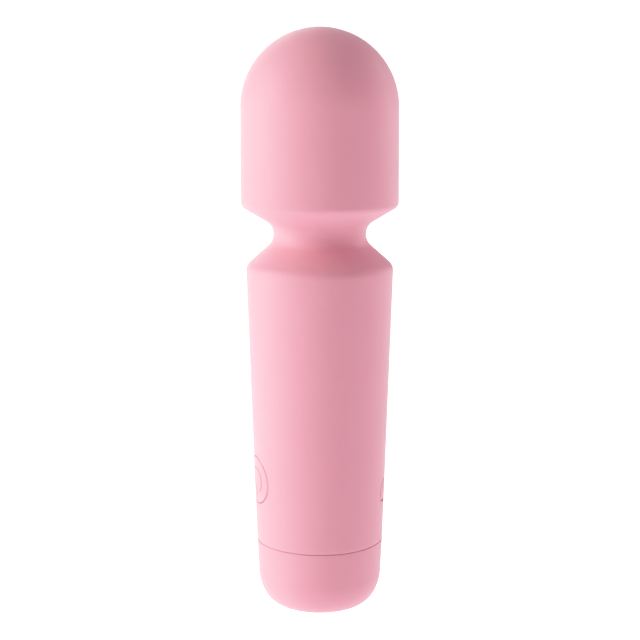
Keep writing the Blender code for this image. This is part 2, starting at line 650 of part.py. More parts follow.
# ------------------------------------------------------------------ charging port: jack, centre pin and pull-out bung
turned(
    "charge_jack",
    [(1.35, 10.75), (2.5, 10.75), (2.5, 4.2), (0.0, 4.2), (0.0, 5.4), (1.35, 5.4)],
    port_frame,
    material("jack_black", (0.03, 0.03, 0.03), 0.4),
    sides=SMALL,
    closed=True,
)
turned(
    "jack_pin",
    [(0.0, 10.0), (0.25, 9.9), (0.35, 9.7), (0.35, 5.5), (0.0, 5.5)],
    port_frame,
    material("plated_pin", BRASS, 0.25, 1.0),
    sides=12,
)
port_face = handle_r(PORT_Z)
turned(
    "charge_port_bung",
    [
        (0.0, port_face + 0.12), (1.3, port_face + 0.08), (BUNG_R - 0.2, port_face - 0.08), (BUNG_R, port_face - 0.3), (BUNG_R, 11.25), (1.12, 11.25), (1.12, 7.4), (0.95, 7.2),
        (0.6, 7.2), (0.6, 10.4), (0.0, 10.6),
    ],
    port_frame,
    material("silicone_bung", PINK, 0.55),
    sides=SMALL,
)


# ------------------------------------------------------------------ wiring
def smooth_route(points, step):
    """Points every step mm along a Catmull-Rom curve through the given ones."""
    pts = [Vector(p) for p in points]
    pts = [2 * pts[0] - pts[1]] + pts + [2 * pts[-1] - pts[-2]]
    fine = []
    for i in range(1, len(pts) - 2):
        a, b, c, d = pts[i - 1 : i + 3]
        for s in range(20):
            t = s / 20
            fine.append(0.5 * ((2 * b) + (c - a) * t + (2 * a - 5 * b + 4 * c - d) * t * t + (3 * b - a - 3 * c + d) * t * t * t))
    fine.append(pts[-2])
    total = sum((q - p).length for p, q in zip(fine, fine[1:]))
    count = max(3, round(total / step))
    out, walked, k = [fine[0]], 0.0, 0
    for n in range(1, count):
        want = total * n / count
        while walked + (fine[k + 1] - fine[k]).length < want:
            walked += (fine[k + 1] - fine[k]).length
            k += 1
        share = (want - walked) / (fine[k + 1] - fine[k]).length
        out.append(fine[k].lerp(fine[k + 1], share))
    return out + [fine[-1]]


def wire(name, points, colour, radius=0.4, step=1.6, parent=handle_frame):
    curve = bpy.data.curves.new(name, "CURVE")
    curve.dimensions = "3D"
    curve.bevel_depth = M(radius)
    curve.bevel_resolution = 1
    curve.use_fill_caps = True
    route = smooth_route(points, step)
    spline = curve.splines.new("POLY")
    spline.points.add(len(route) - 1)
    for point, p in zip(spline.points, route):
        point.co = (M(p.x), M(p.y), M(p.z), 1.0)
    obj = bpy.data.objects.new(name, curve)
    parts.objects.link(obj)
    place(obj, parent)
    curve.materials.append(material("insulation_" + name, colour, 0.45))
    return obj


RED, BLACK, YELLOW = (0.55, 0.02, 0.02), (0.02, 0.02, 0.02), (0.65, 0.45, 0.03)
PAD_Y = PCB_FRONT_Y + PCB_T + 0.55
lift = Vector((0, 0, -NECK_PIVOT_Z))


def in_neck(points):
    return [Vector(p) + lift for p in points]


wire("motor_wire_red", in_neck([(1.6, PAD_Y, 54.2), (1.6, PAD_Y, 57.2), (1.5, -3.0, 60.4), (1.3, -0.6, 64.2), (1.2, 0, 69.2), (1.2, 0, 76.2), (1.3, 0, 80.7), (2.6, 0, 83.0), (3.7, 0, 83.95)]), RED, parent=neck_frame)
wire("motor_wire_black", in_neck([(-1.6, PAD_Y, 54.2), (-1.6, PAD_Y, 57.2), (-1.5, -3.0, 60.4), (-1.3, -0.6, 64.2), (-1.2, 0, 69.2), (-1.2, 0, 76.2), (-1.3, 0, 80.7), (-2.6, 0, 83.0), (-3.7, 0, 83.95)]), BLACK, parent=neck_frame)
wire("battery_wire_red", [(0.3, 3.4, 58.9), (0.3, 1.5, 60.1), (2.8, -2.4, 59.8), (4.6, PAD_Y + 0.4, 57.4), (4.7, PAD_Y, 54.2)], RED)
wire("battery_wire_black", [(0.0, 2.6, 27.4), (-1.2, -0.6, 26.6), (-2.8, -3.8, 28.6), (-3.2, PAD_Y, 31.0)], BLACK)
out = Vector((math.cos(math.radians(PORT_ANGLE)), math.sin(math.radians(PORT_ANGLE)), 0))
across = Vector((-out.y, out.x, 0))
for name, up, x_pad, colour in (("charge_wire_yellow", 1.2, 2.6, YELLOW), ("charge_wire_black", -1.2, -1.2, BLACK)):
    start = out * 3.65 + Vector((0, 0, PORT_Z + up))
    wire(name, [start, out * 2.2 + Vector((0, 0, PORT_Z + up)), (x_pad * 0.6, -2.4, PORT_Z + up * 0.9), (x_pad, PAD_Y, PORT_Z + up * 0.8)], colour)

for data in bpy.data.meshes:
    data.shade_smooth()
    data.set_sharp_from_angle(angle=math.radians(35))
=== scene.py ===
import json
import math

import bmesh
import bpy
import numpy as np
from mathutils import Matrix, Vector


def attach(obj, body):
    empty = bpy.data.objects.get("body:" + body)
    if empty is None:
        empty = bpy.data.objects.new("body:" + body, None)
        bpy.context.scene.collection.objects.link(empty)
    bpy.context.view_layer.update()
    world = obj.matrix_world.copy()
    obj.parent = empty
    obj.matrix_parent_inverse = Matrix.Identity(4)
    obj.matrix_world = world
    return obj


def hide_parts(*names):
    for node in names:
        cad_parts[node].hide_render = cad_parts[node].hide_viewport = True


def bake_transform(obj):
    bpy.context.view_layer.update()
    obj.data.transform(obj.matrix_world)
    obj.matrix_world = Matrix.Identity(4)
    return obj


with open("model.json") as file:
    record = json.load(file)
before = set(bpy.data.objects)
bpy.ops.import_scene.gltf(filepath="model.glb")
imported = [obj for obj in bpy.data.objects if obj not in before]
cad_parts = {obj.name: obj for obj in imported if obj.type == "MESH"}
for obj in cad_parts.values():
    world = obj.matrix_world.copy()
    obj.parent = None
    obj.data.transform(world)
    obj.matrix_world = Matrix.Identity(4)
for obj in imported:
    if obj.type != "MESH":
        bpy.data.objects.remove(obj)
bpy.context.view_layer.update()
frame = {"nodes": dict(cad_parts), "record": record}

# ------------------------------------------------------------------ the wand's own dimensions, in mm
BASE_FLAT_R, BASE_CORNER_H, BASE_CORNER_R = 7.4, 7.0, 11.96
SEAM_Z, SEAM_R = 13.3, 12.27
SHOULDER = (14.06, 66.7)
THROAT = (6.85, 73.14)
HEAD_EDGE = (15.0, 78.1)
DOME_R, DOME_Z = 14.9, 96.58
PIVOT_Z = 72.7
BUTTON_Z, BUTTON_R, BUTTON_HOLE_R = 25.5, 4.53, 4.65
PORT_Z, PORT_ANGLE, PORT_HOLE_R, BUNG_R = 23.1, 60.5, 2.26, 2.12


def mm(value):
    return value * 0.001


def handle_r(z):
    return SEAM_R + (SHOULDER[0] - SEAM_R) * (z - SEAM_Z) / (SHOULDER[1] - SEAM_Z)


# ------------------------------------------------------------------ camera at the photograph's view
cam_data = bpy.data.cameras.new("camera")
cam = bpy.data.objects.new("camera", cam_data)
bpy.context.scene.collection.objects.link(cam)
CAM_AZ, CAM_PITCH, CAM_DIST, CAM_AIM_Z = math.radians(72.6), math.radians(10.08), 0.3064, 0.05605
back = Vector((math.sin(CAM_AZ) * math.cos(CAM_PITCH), -math.cos(CAM_AZ) * math.cos(CAM_PITCH), math.sin(CAM_PITCH)))
cam.location = Vector((0, 0, CAM_AIM_Z)) + back * CAM_DIST
cam.rotation_mode = "QUATERNION"
cam.rotation_quaternion = (-back).to_track_quat("-Z", "Y")
cam_data.lens = 89.83
cam_data.sensor_width = 36.0
cam_data.shift_x = 0.0004
cam_data.clip_start = 0.01
cam_data.clip_end = 50.0
bpy.context.scene.camera = cam

# A photographer's tone curve: straight up to SHOULDER_FROM, then a soft shoulder that reaches white at WHITE_AT.
view = bpy.context.scene.view_settings
view.view_transform = "Standard"
view.use_curve_mapping = True
SHOULDER_FROM, WHITE_AT = 0.5, 1.5
view.curve_mapping.white_level = (WHITE_AT, WHITE_AT, WHITE_AT)
tone = view.curve_mapping.curves[3]
tone.points[0].location = (0.0, 0.0)
tone.points[1].location = (1.0, 1.0)
for i in range(1, 16):
    light = WHITE_AT * i / 16
    over = max(light - SHOULDER_FROM, 0.0)
    tone.points.new(light / WHITE_AT, light - over * over / (2 * (WHITE_AT - SHOULDER_FROM)))
view.curve_mapping.update()


# ------------------------------------------------------------------ materials
def principled(name):
    made = bpy.data.materials.new(name)
    made.use_nodes = True
    tree = made.node_tree
    return made, tree, tree.nodes["Principled BSDF"]


def noise_bump(tree, shader, scale, strength, distance, detail=3.0):
    """A fine procedural surface grain, in object space."""
    where = tree.nodes.new("ShaderNodeTexCoord")
    noise = tree.nodes.new("ShaderNodeTexNoise")
    noise.inputs["Scale"].default_value = scale
    noise.inputs["Detail"].default_value = detail
    bump = tree.nodes.new("ShaderNodeBump")
    bump.inputs["Strength"].default_value = strength
    bump.inputs["Distance"].default_value = distance
    tree.links.new(where.outputs["Object"], noise.inputs["Vector"])
    tree.links.new(noise.outputs["Fac"], bump.inputs["Height"])
    tree.links.new(bump.outputs["Normal"], shader.inputs["Normal"])
    return where, noise


def rough_variation(tree, shader, where, scale, low, high):
    noise = tree.nodes.new("ShaderNodeTexNoise")
    noise.inputs["Scale"].default_value = scale
    noise.inputs["Detail"].default_value = 2.0
    spread = tree.nodes.new("ShaderNodeMapRange")
    spread.inputs["From Min"].default_value = 0.3
    spread.inputs["From Max"].default_value = 0.7
    spread.inputs["To Min"].default_value = low
    spread.inputs["To Max"].default_value = high
    tree.links.new(where.outputs["Object"], noise.inputs["Vector"])
    tree.links.new(noise.outputs["Fac"], spread.inputs["Value"])
    tree.links.new(spread.outputs["Result"], shader.inputs["Roughness"])


def silicone(name, colour=(0.75, 0.312, 0.392)):
    """Soft matte silicone: dense pink, a fine velvety bloom at grazing angles, hardly any gloss."""
    made, tree, shader = principled(name)
    shader.inputs["Base Color"].default_value = (*colour, 1.0)
    shader.inputs["IOR"].default_value = 1.41
    shader.inputs["Specular IOR Level"].default_value = 0.25
    shader.inputs["Subsurface Weight"].default_value = 0.2
    shader.inputs["Subsurface Radius"].default_value = (1.0, 0.5, 0.5)
    shader.inputs["Subsurface Scale"].default_value = 0.0008
    shader.inputs["Sheen Weight"].default_value = 0.2
    shader.inputs["Sheen Roughness"].default_value = 0.4
    shader.inputs["Sheen Tint"].default_value = (1.0, 1.0, 1.0, 1.0)
    where, _ = noise_bump(tree, shader, 2600.0, 0.06, 0.00004)
    rough_variation(tree, shader, where, 90.0, 0.50, 0.58)
    return made


def plain(name, colour, rough, metallic=0.0, grain=(1500.0, 0.08, 0.00003), spread=0.06, coat=0.0):
    made, tree, shader = principled(name)
    shader.inputs["Base Color"].default_value = (*colour, 1.0)
    shader.inputs["Metallic"].default_value = metallic
    shader.inputs["Coat Weight"].default_value = coat
    where, _ = noise_bump(tree, shader, *grain)
    rough_variation(tree, shader, where, 220.0, max(rough - spread, 0.05), rough + spread)
    return made


def lined(name, colour, rough, metallic, pitch, depth, direction="Z"):
    """A finish with fine parallel lines across the given axis, such as turning marks or laminations. pitch and depth are in metres."""
    made, tree, shader = principled(name)
    shader.inputs["Base Color"].default_value = (*colour, 1.0)
    shader.inputs["Metallic"].default_value = metallic
    where = tree.nodes.new("ShaderNodeTexCoord")
    wave = tree.nodes.new("ShaderNodeTexWave")
    wave.wave_type = "BANDS"
    wave.bands_direction = direction
    wave.inputs["Scale"].default_value = 0.314 / pitch
    wave.inputs["Distortion"].default_value = 0.6
    wave.inputs["Detail"].default_value = 1.0
    bump = tree.nodes.new("ShaderNodeBump")
    bump.inputs["Strength"].default_value = 0.5
    bump.inputs["Distance"].default_value = depth
    tree.links.new(where.outputs["Object"], wave.inputs["Vector"])
    tree.links.new(wave.outputs["Fac"], bump.inputs["Height"])
    tree.links.new(bump.outputs["Normal"], shader.inputs["Normal"])
    rough_variation(tree, shader, where, 300.0, max(rough - 0.07, 0.05), rough + 0.07)
    return made


SILICONE = silicone("soft_silicone")
ABS = plain("moulded_abs", (0.80, 0.79, 0.76), 0.42)
RUBBER = plain("dark_rubber", (0.035, 0.035, 0.038), 0.62, grain=(1800.0, 0.15, 0.00004))
STEEL = plain("zinc_steel", (0.62, 0.62, 0.63), 0.30, 1.0)
PLUG = lined("turned_aluminium", (0.80, 0.81, 0.82), 0.30, 1.0, 0.00018, 0.00001)
LAMINATED = lined("laminated_core", (0.36, 0.35, 0.34), 0.45, 0.95, 0.00035, 0.00004)
TIN = plain("solder", (0.66, 0.67, 0.69), 0.26, 1.0, grain=(900.0, 0.12, 0.00005))
CERAMIC = plain("ceramic", (0.42, 0.31, 0.20), 0.5)
BRONZE = plain("spring_bronze", (0.72, 0.52, 0.24), 0.28, 1.0)
COPPER = plain("copper", (0.76, 0.38, 0.24), 0.28, 1.0)
FERRITE = plain("ferrite", (0.05, 0.05, 0.055), 0.55, grain=(2600.0, 0.3, 0.00005))
IRON = plain("laminated_iron", (0.33, 0.32, 0.31), 0.45, 0.9)
TUNGSTEN = plain("sintered_tungsten", (0.36, 0.36, 0.38), 0.42, 1.0, grain=(2800.0, 0.35, 0.00005))
BOARD = plain("solder_mask", (0.012, 0.13, 0.05), 0.35, coat=0.3)
BLACK = plain("black_plastic", (0.02, 0.02, 0.021), 0.45)
LENS = plain("led_lens", (0.85, 0.85, 0.8), 0.2)
CELL = plain("cell_case", (0.76, 0.77, 0.78), 0.28, 1.0)
FOAM = plain("foam", (0.05, 0.05, 0.055), 0.9, grain=(1400.0, 0.6, 0.0002))
NYLON = plain("nylon", (0.72, 0.70, 0.62), 0.5)
WIRES = {
    "wire_red": plain("wire_red_skin", (0.50, 0.02, 0.02), 0.38),
    "wire_black": plain("wire_black_skin", (0.015, 0.015, 0.015), 0.38),
    "wire_yellow": plain("wire_yellow_skin", (0.60, 0.38, 0.02), 0.38),
}
BY_SLOT = {
    "silicone_pink": SILICONE, "abs_white": ABS, "rubber_dark": RUBBER, "steel": STEEL, "bronze": BRONZE, "copper": COPPER, "ferrite": FERRITE,
    "iron": IRON, "tungsten": TUNGSTEN, "board_green": BOARD, "plastic_black": BLACK, "led_lens": LENS, "cell_case": CELL, "plug_metal": PLUG, "foam": FOAM, "nylon": NYLON, **WIRES,
}


# ------------------------------------------------------------------ mesh helpers
def link(name, mesh, look=None, smooth_angle=40):
    obj = bpy.data.objects.new(name, mesh)
    bpy.context.scene.collection.objects.link(obj)
    if look:
        mesh.materials.clear()
        mesh.materials.append(look)
    mesh.shade_smooth()
    if smooth_angle:
        mesh.set_sharp_from_angle(angle=math.radians(smooth_angle))
    return obj


def from_lists(name, points, faces, look, smooth_angle=40):
    """A closed mesh from points in mm."""
    mesh = bpy.data.meshes.new(name)
    mesh.from_pydata([[mm(c) for c in p] for p in points], [], faces)
    shape = bmesh.new()
    shape.from_mesh(mesh)
    bmesh.ops.remove_doubles(shape, verts=shape.verts, dist=0.0000005)
    bmesh.ops.recalc_face_normals(shape, faces=shape.faces)
    shape.to_mesh(mesh)
    shape.free()
    return link(name, mesh, look, smooth_angle)


def fillet(corner, before, after, radius, count):
    """Points of the arc that rounds a corner of a profile, from the side of `before` to the side of `after`."""
    p = Vector(corner)
    a = (Vector(before) - p).normalized()
    b = (Vector(after) - p).normalized()
    half = a.angle(b) / 2
    centre = p + (a + b).normalized() * (radius / math.sin(half))
    start = p + a * (radius / math.tan(half)) - centre
    stop = p + b * (radius / math.tan(half)) - centre
    t0 = math.atan2(start.y, start.x)
    turn = (math.atan2(stop.y, stop.x) - t0 + math.pi) % (2 * math.pi) - math.pi
    return [
        (centre.x + radius * math.cos(t0 + turn * i / (count - 1)), centre.y + radius * math.sin(t0 + turn * i / (count - 1)))
        for i in range(count)
    ]


def rounded(profile, radii, count=5, closed=True):
    """A profile of (radius, height) with its corners rounded: radii gives one value for all, or one per point."""
    total = len(profile)
    if not hasattr(radii, "__len__"):
        radii = [radii] * total
    out = []
    for i, p in enumerate(profile):
        r = radii[i]
        ends = not closed and i in (0, total - 1)
        if r <= 0 or ends:
            out.append(tuple(p))
            continue
        before, after = profile[i - 1], profile[(i + 1) % total]
        reach = 0.45 * min((Vector(before) - Vector(p)).length, (Vector(after) - Vector(p)).length)
        a, b = (Vector(before) - Vector(p)).normalized(), (Vector(after) - Vector(p)).normalized()
        angle = a.angle(b)
        if angle > math.radians(172):
            out.append(tuple(p))
            continue
        r = min(r, reach * math.tan(angle / 2))
        out += fillet(p, before, after, r, count)
    return out


def turned(name, profile, look, sides=96, closed=True, smooth_angle=40):
    """A profile of (radius, height) in mm turned about Z into one closed mesh. An open profile starts and ends on the axis."""
    points, faces, rings = [], [], []
    for r, z in profile:
        if r < 1e-6:
            rings.append([len(points)])
            points.append((0.0, 0.0, z))
        else:
            rings.append(list(range(len(points), len(points) + sides)))
            points += [(r * math.cos(2 * math.pi * k / sides), r * math.sin(2 * math.pi * k / sides), z) for k in range(sides)]
    pairs = list(zip(rings, rings[1:])) + ([(rings[-1], rings[0])] if closed else [])
    for a, b in pairs:
        if len(a) == 1 and len(b) == 1:
            continue
        for k in range(sides):
            n = (k + 1) % sides
            if len(a) == 1:
                faces.append((a[0], b[n], b[k]))
            elif len(b) == 1:
                faces.append((a[k], a[n], b[0]))
            else:
                faces.append((a[k], a[n], b[n], b[k]))
    return from_lists(name, points, faces, look, smooth_angle)


def spaced(points, step):
    """The same polyline with extra points, so that no piece of it is longer than step."""
    out = [points[0]]
    for a, b in zip(points, points[1:]):
        n = max(1, math.ceil(math.hypot(b[0] - a[0], b[1] - a[1]) / step))
        out += [(a[0] + (b[0] - a[0]) * i / n, a[1] + (b[1] - a[1]) * i / n) for i in range(1, n + 1)]
    return out


# ------------------------------------------------------------------ the silicone skin
def dome(radius, count):
    return [(radius * math.sin(math.pi / 2 * i / count), DOME_Z + radius * math.cos(math.pi / 2 * i / count)) for i in range(count + 1)]


throat_arc = fillet(THROAT, HEAD_EDGE, SHOULDER, 2.95, 65)      # top to bottom
head_arc = fillet(HEAD_EDGE, (DOME_R, DOME_Z), THROAT, 1.4, 13)
shoulder_arc = fillet(SHOULDER, THROAT, (SEAM_R, SEAM_Z), 2.0, 13)
split_r = min(throat_arc, key=lambda p: abs(p[1] - PIVOT_Z))
throat_up = [p for p in throat_arc if p[1] > PIVOT_Z + 0.02]
throat_down = [p for p in throat_arc if p[1] < PIVOT_Z - 0.02]
lo, hi = throat_down[0], throat_up[-1]
SPLIT = (lo[0] + (hi[0] - lo[0]) * (PIVOT_Z - lo[1]) / (hi[1] - lo[1]), PIVOT_Z)

# Head: dome, side, underside and the upper half of the neck, closed by the inner face of the silicone.
outer = dome(DOME_R, 40) + spaced([(DOME_R, DOME_Z), head_arc[0]], 1.2)[1:-1] + head_arc + spaced([head_arc[-1], throat_up[0]], 0.35)[1:-1] + throat_up + [SPLIT]
HEAD_IN_R = 13.5
inner = [(7.25, PIVOT_Z)] + spaced([(7.25, PIVOT_Z), (7.25, 79.2)], 0.5)[1:] + [(10.0, 79.2), (HEAD_IN_R, 79.2)] + spaced([(HEAD_IN_R, 79.2), (HEAD_IN_R, DOME_Z)], 3.0)[1:] + dome(HEAD_IN_R, 24)[::-1][1:]
inner[-1] = (0.0, inner[-1][1])
outer[0] = (0.0, outer[0][1])
skin_head = turned("skin_head", outer + inner, SILICONE, sides=192, closed=False, smooth_angle=50)
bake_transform(skin_head)
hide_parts("head_sleeve", "neck_sleeve")


def sleeve(name, outer_r, inner_r, rows, holes, columns, look):
    """A turned wall on a grid of angle and height, with round holes through it. Each hole has a patch of rings that run from its rim out to the grid.
    rows: heights in mm, bottom to top. holes: (angle in degrees, height, radius, half columns, rows below, rows above, lip)."""
    count = len(columns)
    points, faces = [], []

    def at(x, z, angle, depth):
        """A point on the wall whose distance from the hole's axis plane is x, set in by depth."""
        r = outer_r(z) - depth
        along = math.sqrt(max(r * r - x * x, 0.0))
        c, s = math.cos(angle), math.sin(angle)
        return (along * c - x * s, along * s + x * c, z)

    def add(p):
        points.append(p)
        return len(points) - 1

    grids = {}
    for side, radius in (("out", outer_r), ("in", inner_r)):
        grids[side] = [[add((radius(z) * math.cos(t), radius(z) * math.sin(t), z)) for t in columns] for z in rows]
    covered = set()
    for angle_deg, z0, hole_r, half, low, high, lip in holes:
        angle = math.radians(angle_deg)
        mid = min(range(count), key=lambda k: abs((columns[k] - angle + math.pi) % (2 * math.pi) - math.pi))
        row = min(range(len(rows)), key=lambda j: abs(rows[j] - z0))
        r0, r1 = row - low, row + high
        cols = [(mid - half + k) % count for k in range(2 * half + 1)]
        for j in range(r0, r1):
            for k in cols[:-1]:
                covered.add((j, k))
        edge = [(r0, k) for k in cols] + [(j, cols[-1]) for j in range(r0 + 1, r1 + 1)]
        edge += [(r1, k) for k in cols[-2::-1]] + [(j, cols[0]) for j in range(r1 - 1, r0, -1)]
        plan = []
        for j, k in edge:
            t = (columns[k] - angle + math.pi) % (2 * math.pi) - math.pi
            plan.append((outer_r(rows[j]) * math.sin(t), rows[j] - z0))
        turns = [math.atan2(v, u) for u, v in plan]
        rims = {}
        for side, depth in (("out", 0.0), ("in", 1.0)):
            ring_before = [grids[side][j][k] for j, k in edge]
            steps = 12 if side == "out" else 3
            flat = (lambda z: 0.0) if side == "out" else (lambda z: outer_r(z) - inner_r(z))
            start_r = hole_r + (lip if side == "out" else 0.0)
            for s in range(1, steps + 1):
                f = s / steps
                f = 1 - (1 - f) ** 1.0
                ring = []
                for (u, v), turn in zip(plan, turns):
                    cu, cv = start_r * math.cos(turn), start_r * math.sin(turn)
                    x, z = u + (cu - u) * f, v + (cv - v) * f + z0
                    ring.append(add(at(x, z, angle, flat(z))))
                for i in range(len(edge)):
                    n = (i + 1) % len(edge)
                    faces.append((ring_before[i], ring_before[n], ring[n], ring[i]))
                ring_before = ring
            rims[side] = ring_before
        before = rims["out"]
        depths = []
        for s in range(1, 7):
            q = math.pi / 2 * s / 6
            depths.append((hole_r + lip * (1 - math.sin(q)), lip * (1 - math.cos(q))))
        depths += [(hole_r, lip + 0.35), (hole_r, lip + 0.8)]
        for radius, depth in depths:
            ring = [add(at(radius * math.cos(t), radius * math.sin(t) + z0, angle, depth)) for t in turns]
            for i in range(len(edge)):
                n = (i + 1) % len(edge)
                faces.append((before[i], before[n], ring[n], ring[i]))
            before = ring
        for i in range(len(edge)):
            n = (i + 1) % len(edge)
            faces.append((before[i], before[n], rims["in"][n], rims["in"][i]))
    for side in ("out", "in"):
        grid = grids[side]
        for j in range(len(rows) - 1):
            for k in range(count):
                if (j, k) in covered:
                    continue
                n = (k + 1) % count
                faces.append((grid[j][k], grid[j][n], grid[j + 1][n], grid[j + 1][k]))
    for j in (0, len(rows) - 1):
        for k in range(count):
            n = (k + 1) % count
            faces.append((grids["out"][j][k], grids["out"][j][n], grids["in"][j][n], grids["in"][j][k]))
    return from_lists(name, points, faces, look, 50)


# Handle: one wall from the lip at the seam up to the split in the throat.
upper_curve = ([SPLIT] + throat_down + spaced([throat_down[-1], shoulder_arc[0]], 0.4)[1:-1] + shoulder_arc)[::-1]   # bottom to top
LIP_Z, LIP, LIP_DEEP = 13.01, 0.55, 0.15
straight_top = upper_curve[0][1]
lip_rows = [LIP_Z + LIP * (1 - math.cos(math.pi / 2 * i / 8)) for i in range(9)]
body_rows = [LIP_Z + LIP + (straight_top - LIP_Z - LIP) * i / 96 for i in range(1, 97)]
all_rows = lip_rows + body_rows + [z for _, z in upper_curve[1:]]
curve_z = np.array([z for _, z in upper_curve])
curve_r = np.array([r for r, _ in upper_curve])


def skin_outer(z):
    if z >= straight_top:
        return float(np.interp(z, curve_z, curve_r))
    r = handle_r(z)
    if z < LIP_Z + LIP:
        drop = (LIP_Z + LIP - z) / LIP
        r -= LIP_DEEP * (1 - math.sqrt(max(1 - drop * drop, 0.0)))
    return r


def skin_inner(z):
    if z > 65.85:
        return 7.25
    return handle_r(z) - 1.5


bound = [-90.0 + 150.5 * i / 60 for i in range(60)] + [60.5 + 209.5 * i / 84 for i in range(84)]
columns = [math.radians(a) for a in bound]
skin_handle = sleeve(
    "skin_handle", skin_outer, skin_inner, all_rows,
    [(-90.0, BUTTON_Z, BUTTON_HOLE_R, 13, 13, 13, 0.24), (60.5, PORT_Z, PORT_HOLE_R, 7, 8, 8, 0.18)],
    columns, SILICONE,
)
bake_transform(skin_handle)
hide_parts("handle_sleeve", "neck_sleeve")

# Base cap: rounded bottom, soft upper edge.
corner = []
for i in range(25):
    u = math.pi / 2 * (1 - i / 24)
    corner.append((BASE_FLAT_R + (BASE_CORNER_R - BASE_FLAT_R) * math.sin(u), BASE_CORNER_H * (1 - math.cos(u))))
CAP_TOP, CAP_EDGE = 12.96, 0.10
cap_edge = [(handle_r(CAP_TOP) - CAP_EDGE * (1 - math.cos(q)), CAP_TOP - CAP_EDGE * (1 - math.sin(q))) for q in (math.pi / 2 * (1 - i / 6) for i in range(7))]
cap_in = [(BASE_FLAT_R - 0.6 + (BASE_CORNER_R - 1.5 - BASE_FLAT_R + 0.6) * math.sin(math.pi / 2 * i / 8), 1.7 + (BASE_CORNER_H - 1.7) * (1 - math.cos(math.pi / 2 * i / 8))) for i in range(9)]
cap_profile = [(handle_r(CAP_TOP) - 1.5, CAP_TOP)] + cap_edge + spaced([(handle_r(CAP_TOP - CAP_EDGE), CAP_TOP - CAP_EDGE), corner[0]], 0.8)[1:-1] + corner + [(0.0, 0.0)]
cap_profile = [(0.0, 1.7)] + cap_in + [(handle_r(CAP_TOP) - 1.5, CAP_TOP)] + cap_profile[1:]
cap_skin = turned("cap_skin", cap_profile, SILICONE, sides=192, closed=False, smooth_angle=50)
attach(cap_skin, "base_cap")
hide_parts("base_cap")


# ------------------------------------------------------------------ power button and charging plug
def disc_face(name, angle_deg, z0, radius, face, back, edge, height, look, rings=64, spokes=256, stem=(), relief=0.0):
    """A round pad whose front follows the handle's surface. face(u, v) gives extra height above the handle's surface in mm; back is the flat rear, measured from the axis of the handle.
    stem is a profile of (radius, distance from the axis) that goes on from the rear edge to the middle.
    relief is how much narrower the last 0.3 mm is, so that it clears the hard shell when pressed."""
    angle = math.radians(angle_deg)
    c, s = math.cos(angle), math.sin(angle)
    points, faces = [], []

    def add(x, v, out):
        points.append((out * c - x * s, out * s + x * c, z0 + v))
        return len(points) - 1

    def surface(x, v):
        return math.sqrt(handle_r(z0 + v) ** 2 - x * x)

    centre = add(0.0, 0.0, surface(0, 0) + face(0.0, 0.0))
    before = None
    flat_r = radius - edge
    for j in range(1, rings + 1):
        r = flat_r * j / rings
        ring = [add(r * math.cos(2 * math.pi * k / spokes), r * math.sin(2 * math.pi * k / spokes),
                    surface(r * math.cos(2 * math.pi * k / spokes), r * math.sin(2 * math.pi * k / spokes)) + face(r * math.cos(2 * math.pi * k / spokes), r * math.sin(2 * math.pi * k / spokes)))
                for k in range(spokes)]
        for k in range(spokes):
            n = (k + 1) % spokes
            faces.append((centre, ring[k], ring[n]) if before is None else (before[k], ring[k], ring[n], before[n]))
        before = ring
    for j in range(1, 9):
        q = math.pi / 2 * j / 8
        r, drop = flat_r + edge * math.sin(q), edge * (1 - math.cos(q)) * height
        ring = []
        for k in range(spokes):
            x, v = r * math.cos(2 * math.pi * k / spokes), r * math.sin(2 * math.pi * k / spokes)
            fx, fv = flat_r * math.cos(2 * math.pi * k / spokes), flat_r * math.sin(2 * math.pi * k / spokes)
            ring.append(add(x, v, surface(x, v) + face(fx, fv) - drop))
        for k in range(spokes):
            n = (k + 1) % spokes
            faces.append((before[k], ring[k], ring[n], before[n]))
        before = ring
    rear_edge = 0.12
    tail = [(radius - relief - rear_edge * (1 - math.cos(q)), back + rear_edge * (1 - math.sin(q))) for q in (math.pi / 2 * i / 4 for i in range(5))] + list(stem)
    if relief:
        tail = [(radius, back + 0.32), (radius - relief, back + 0.22)] + tail
    for r, out in tail:
        ring = [add(r * math.cos(2 * math.pi * k / spokes), r * math.sin(2 * math.pi * k / spokes), out) for k in range(spokes)]
        for k in range(spokes):
            n = (k + 1) % spokes
            faces.append((before[k], ring[k], ring[n], before[n]))
        before = ring
    rear = add(0.0, 0.0, tail[-1][1])
    for k in range(spokes):
        faces.append((rear, before[(k + 1) % spokes], before[k]))
    return from_lists(name, points, faces, look, 50)


def groove(distance, half_width, depth):
    """Depth of a soft-edged engraved line at this distance from its centre line."""
    if distance >= half_width:
        return 0.0
    return depth * 0.5 * (1 + math.cos(math.pi * distance / half_width))


MARK_R, MARK_GAP = 2.45, math.radians(38)


def button_face(x, v):
    """Slightly domed, with a generic power mark: an open ring, its gap and bar towards the base."""
    r = math.hypot(x, v)
    rise = 0.10 * (1 - (r / BUTTON_R) ** 2)
    turn = math.atan2(x, -v)
    if abs(turn) > MARK_GAP:
        away = abs(r - MARK_R)
    else:
        away = min(math.hypot(x - MARK_R * math.sin(q), v + MARK_R * math.cos(q)) for q in (MARK_GAP, -MARK_GAP))
    bar = math.hypot(x, max(0.0, abs(v + 2.2) - 1.1))
    return rise - groove(min(away, bar), 0.25, 0.24)


button = disc_face("button_skin", -90.0, BUTTON_Z, BUTTON_R, button_face, 11.15, 0.3, 1.0, SILICONE, relief=0.1)
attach(button, "button")
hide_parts("power_button")


def bung_face(x, v):
    r = math.hypot(x, v)
    notch = math.exp(-((x / 0.9) ** 2)) * max(0.0, (-v - 1.15)) * 0.32
    return 0.06 * (1 - (r / BUNG_R) ** 2) - notch


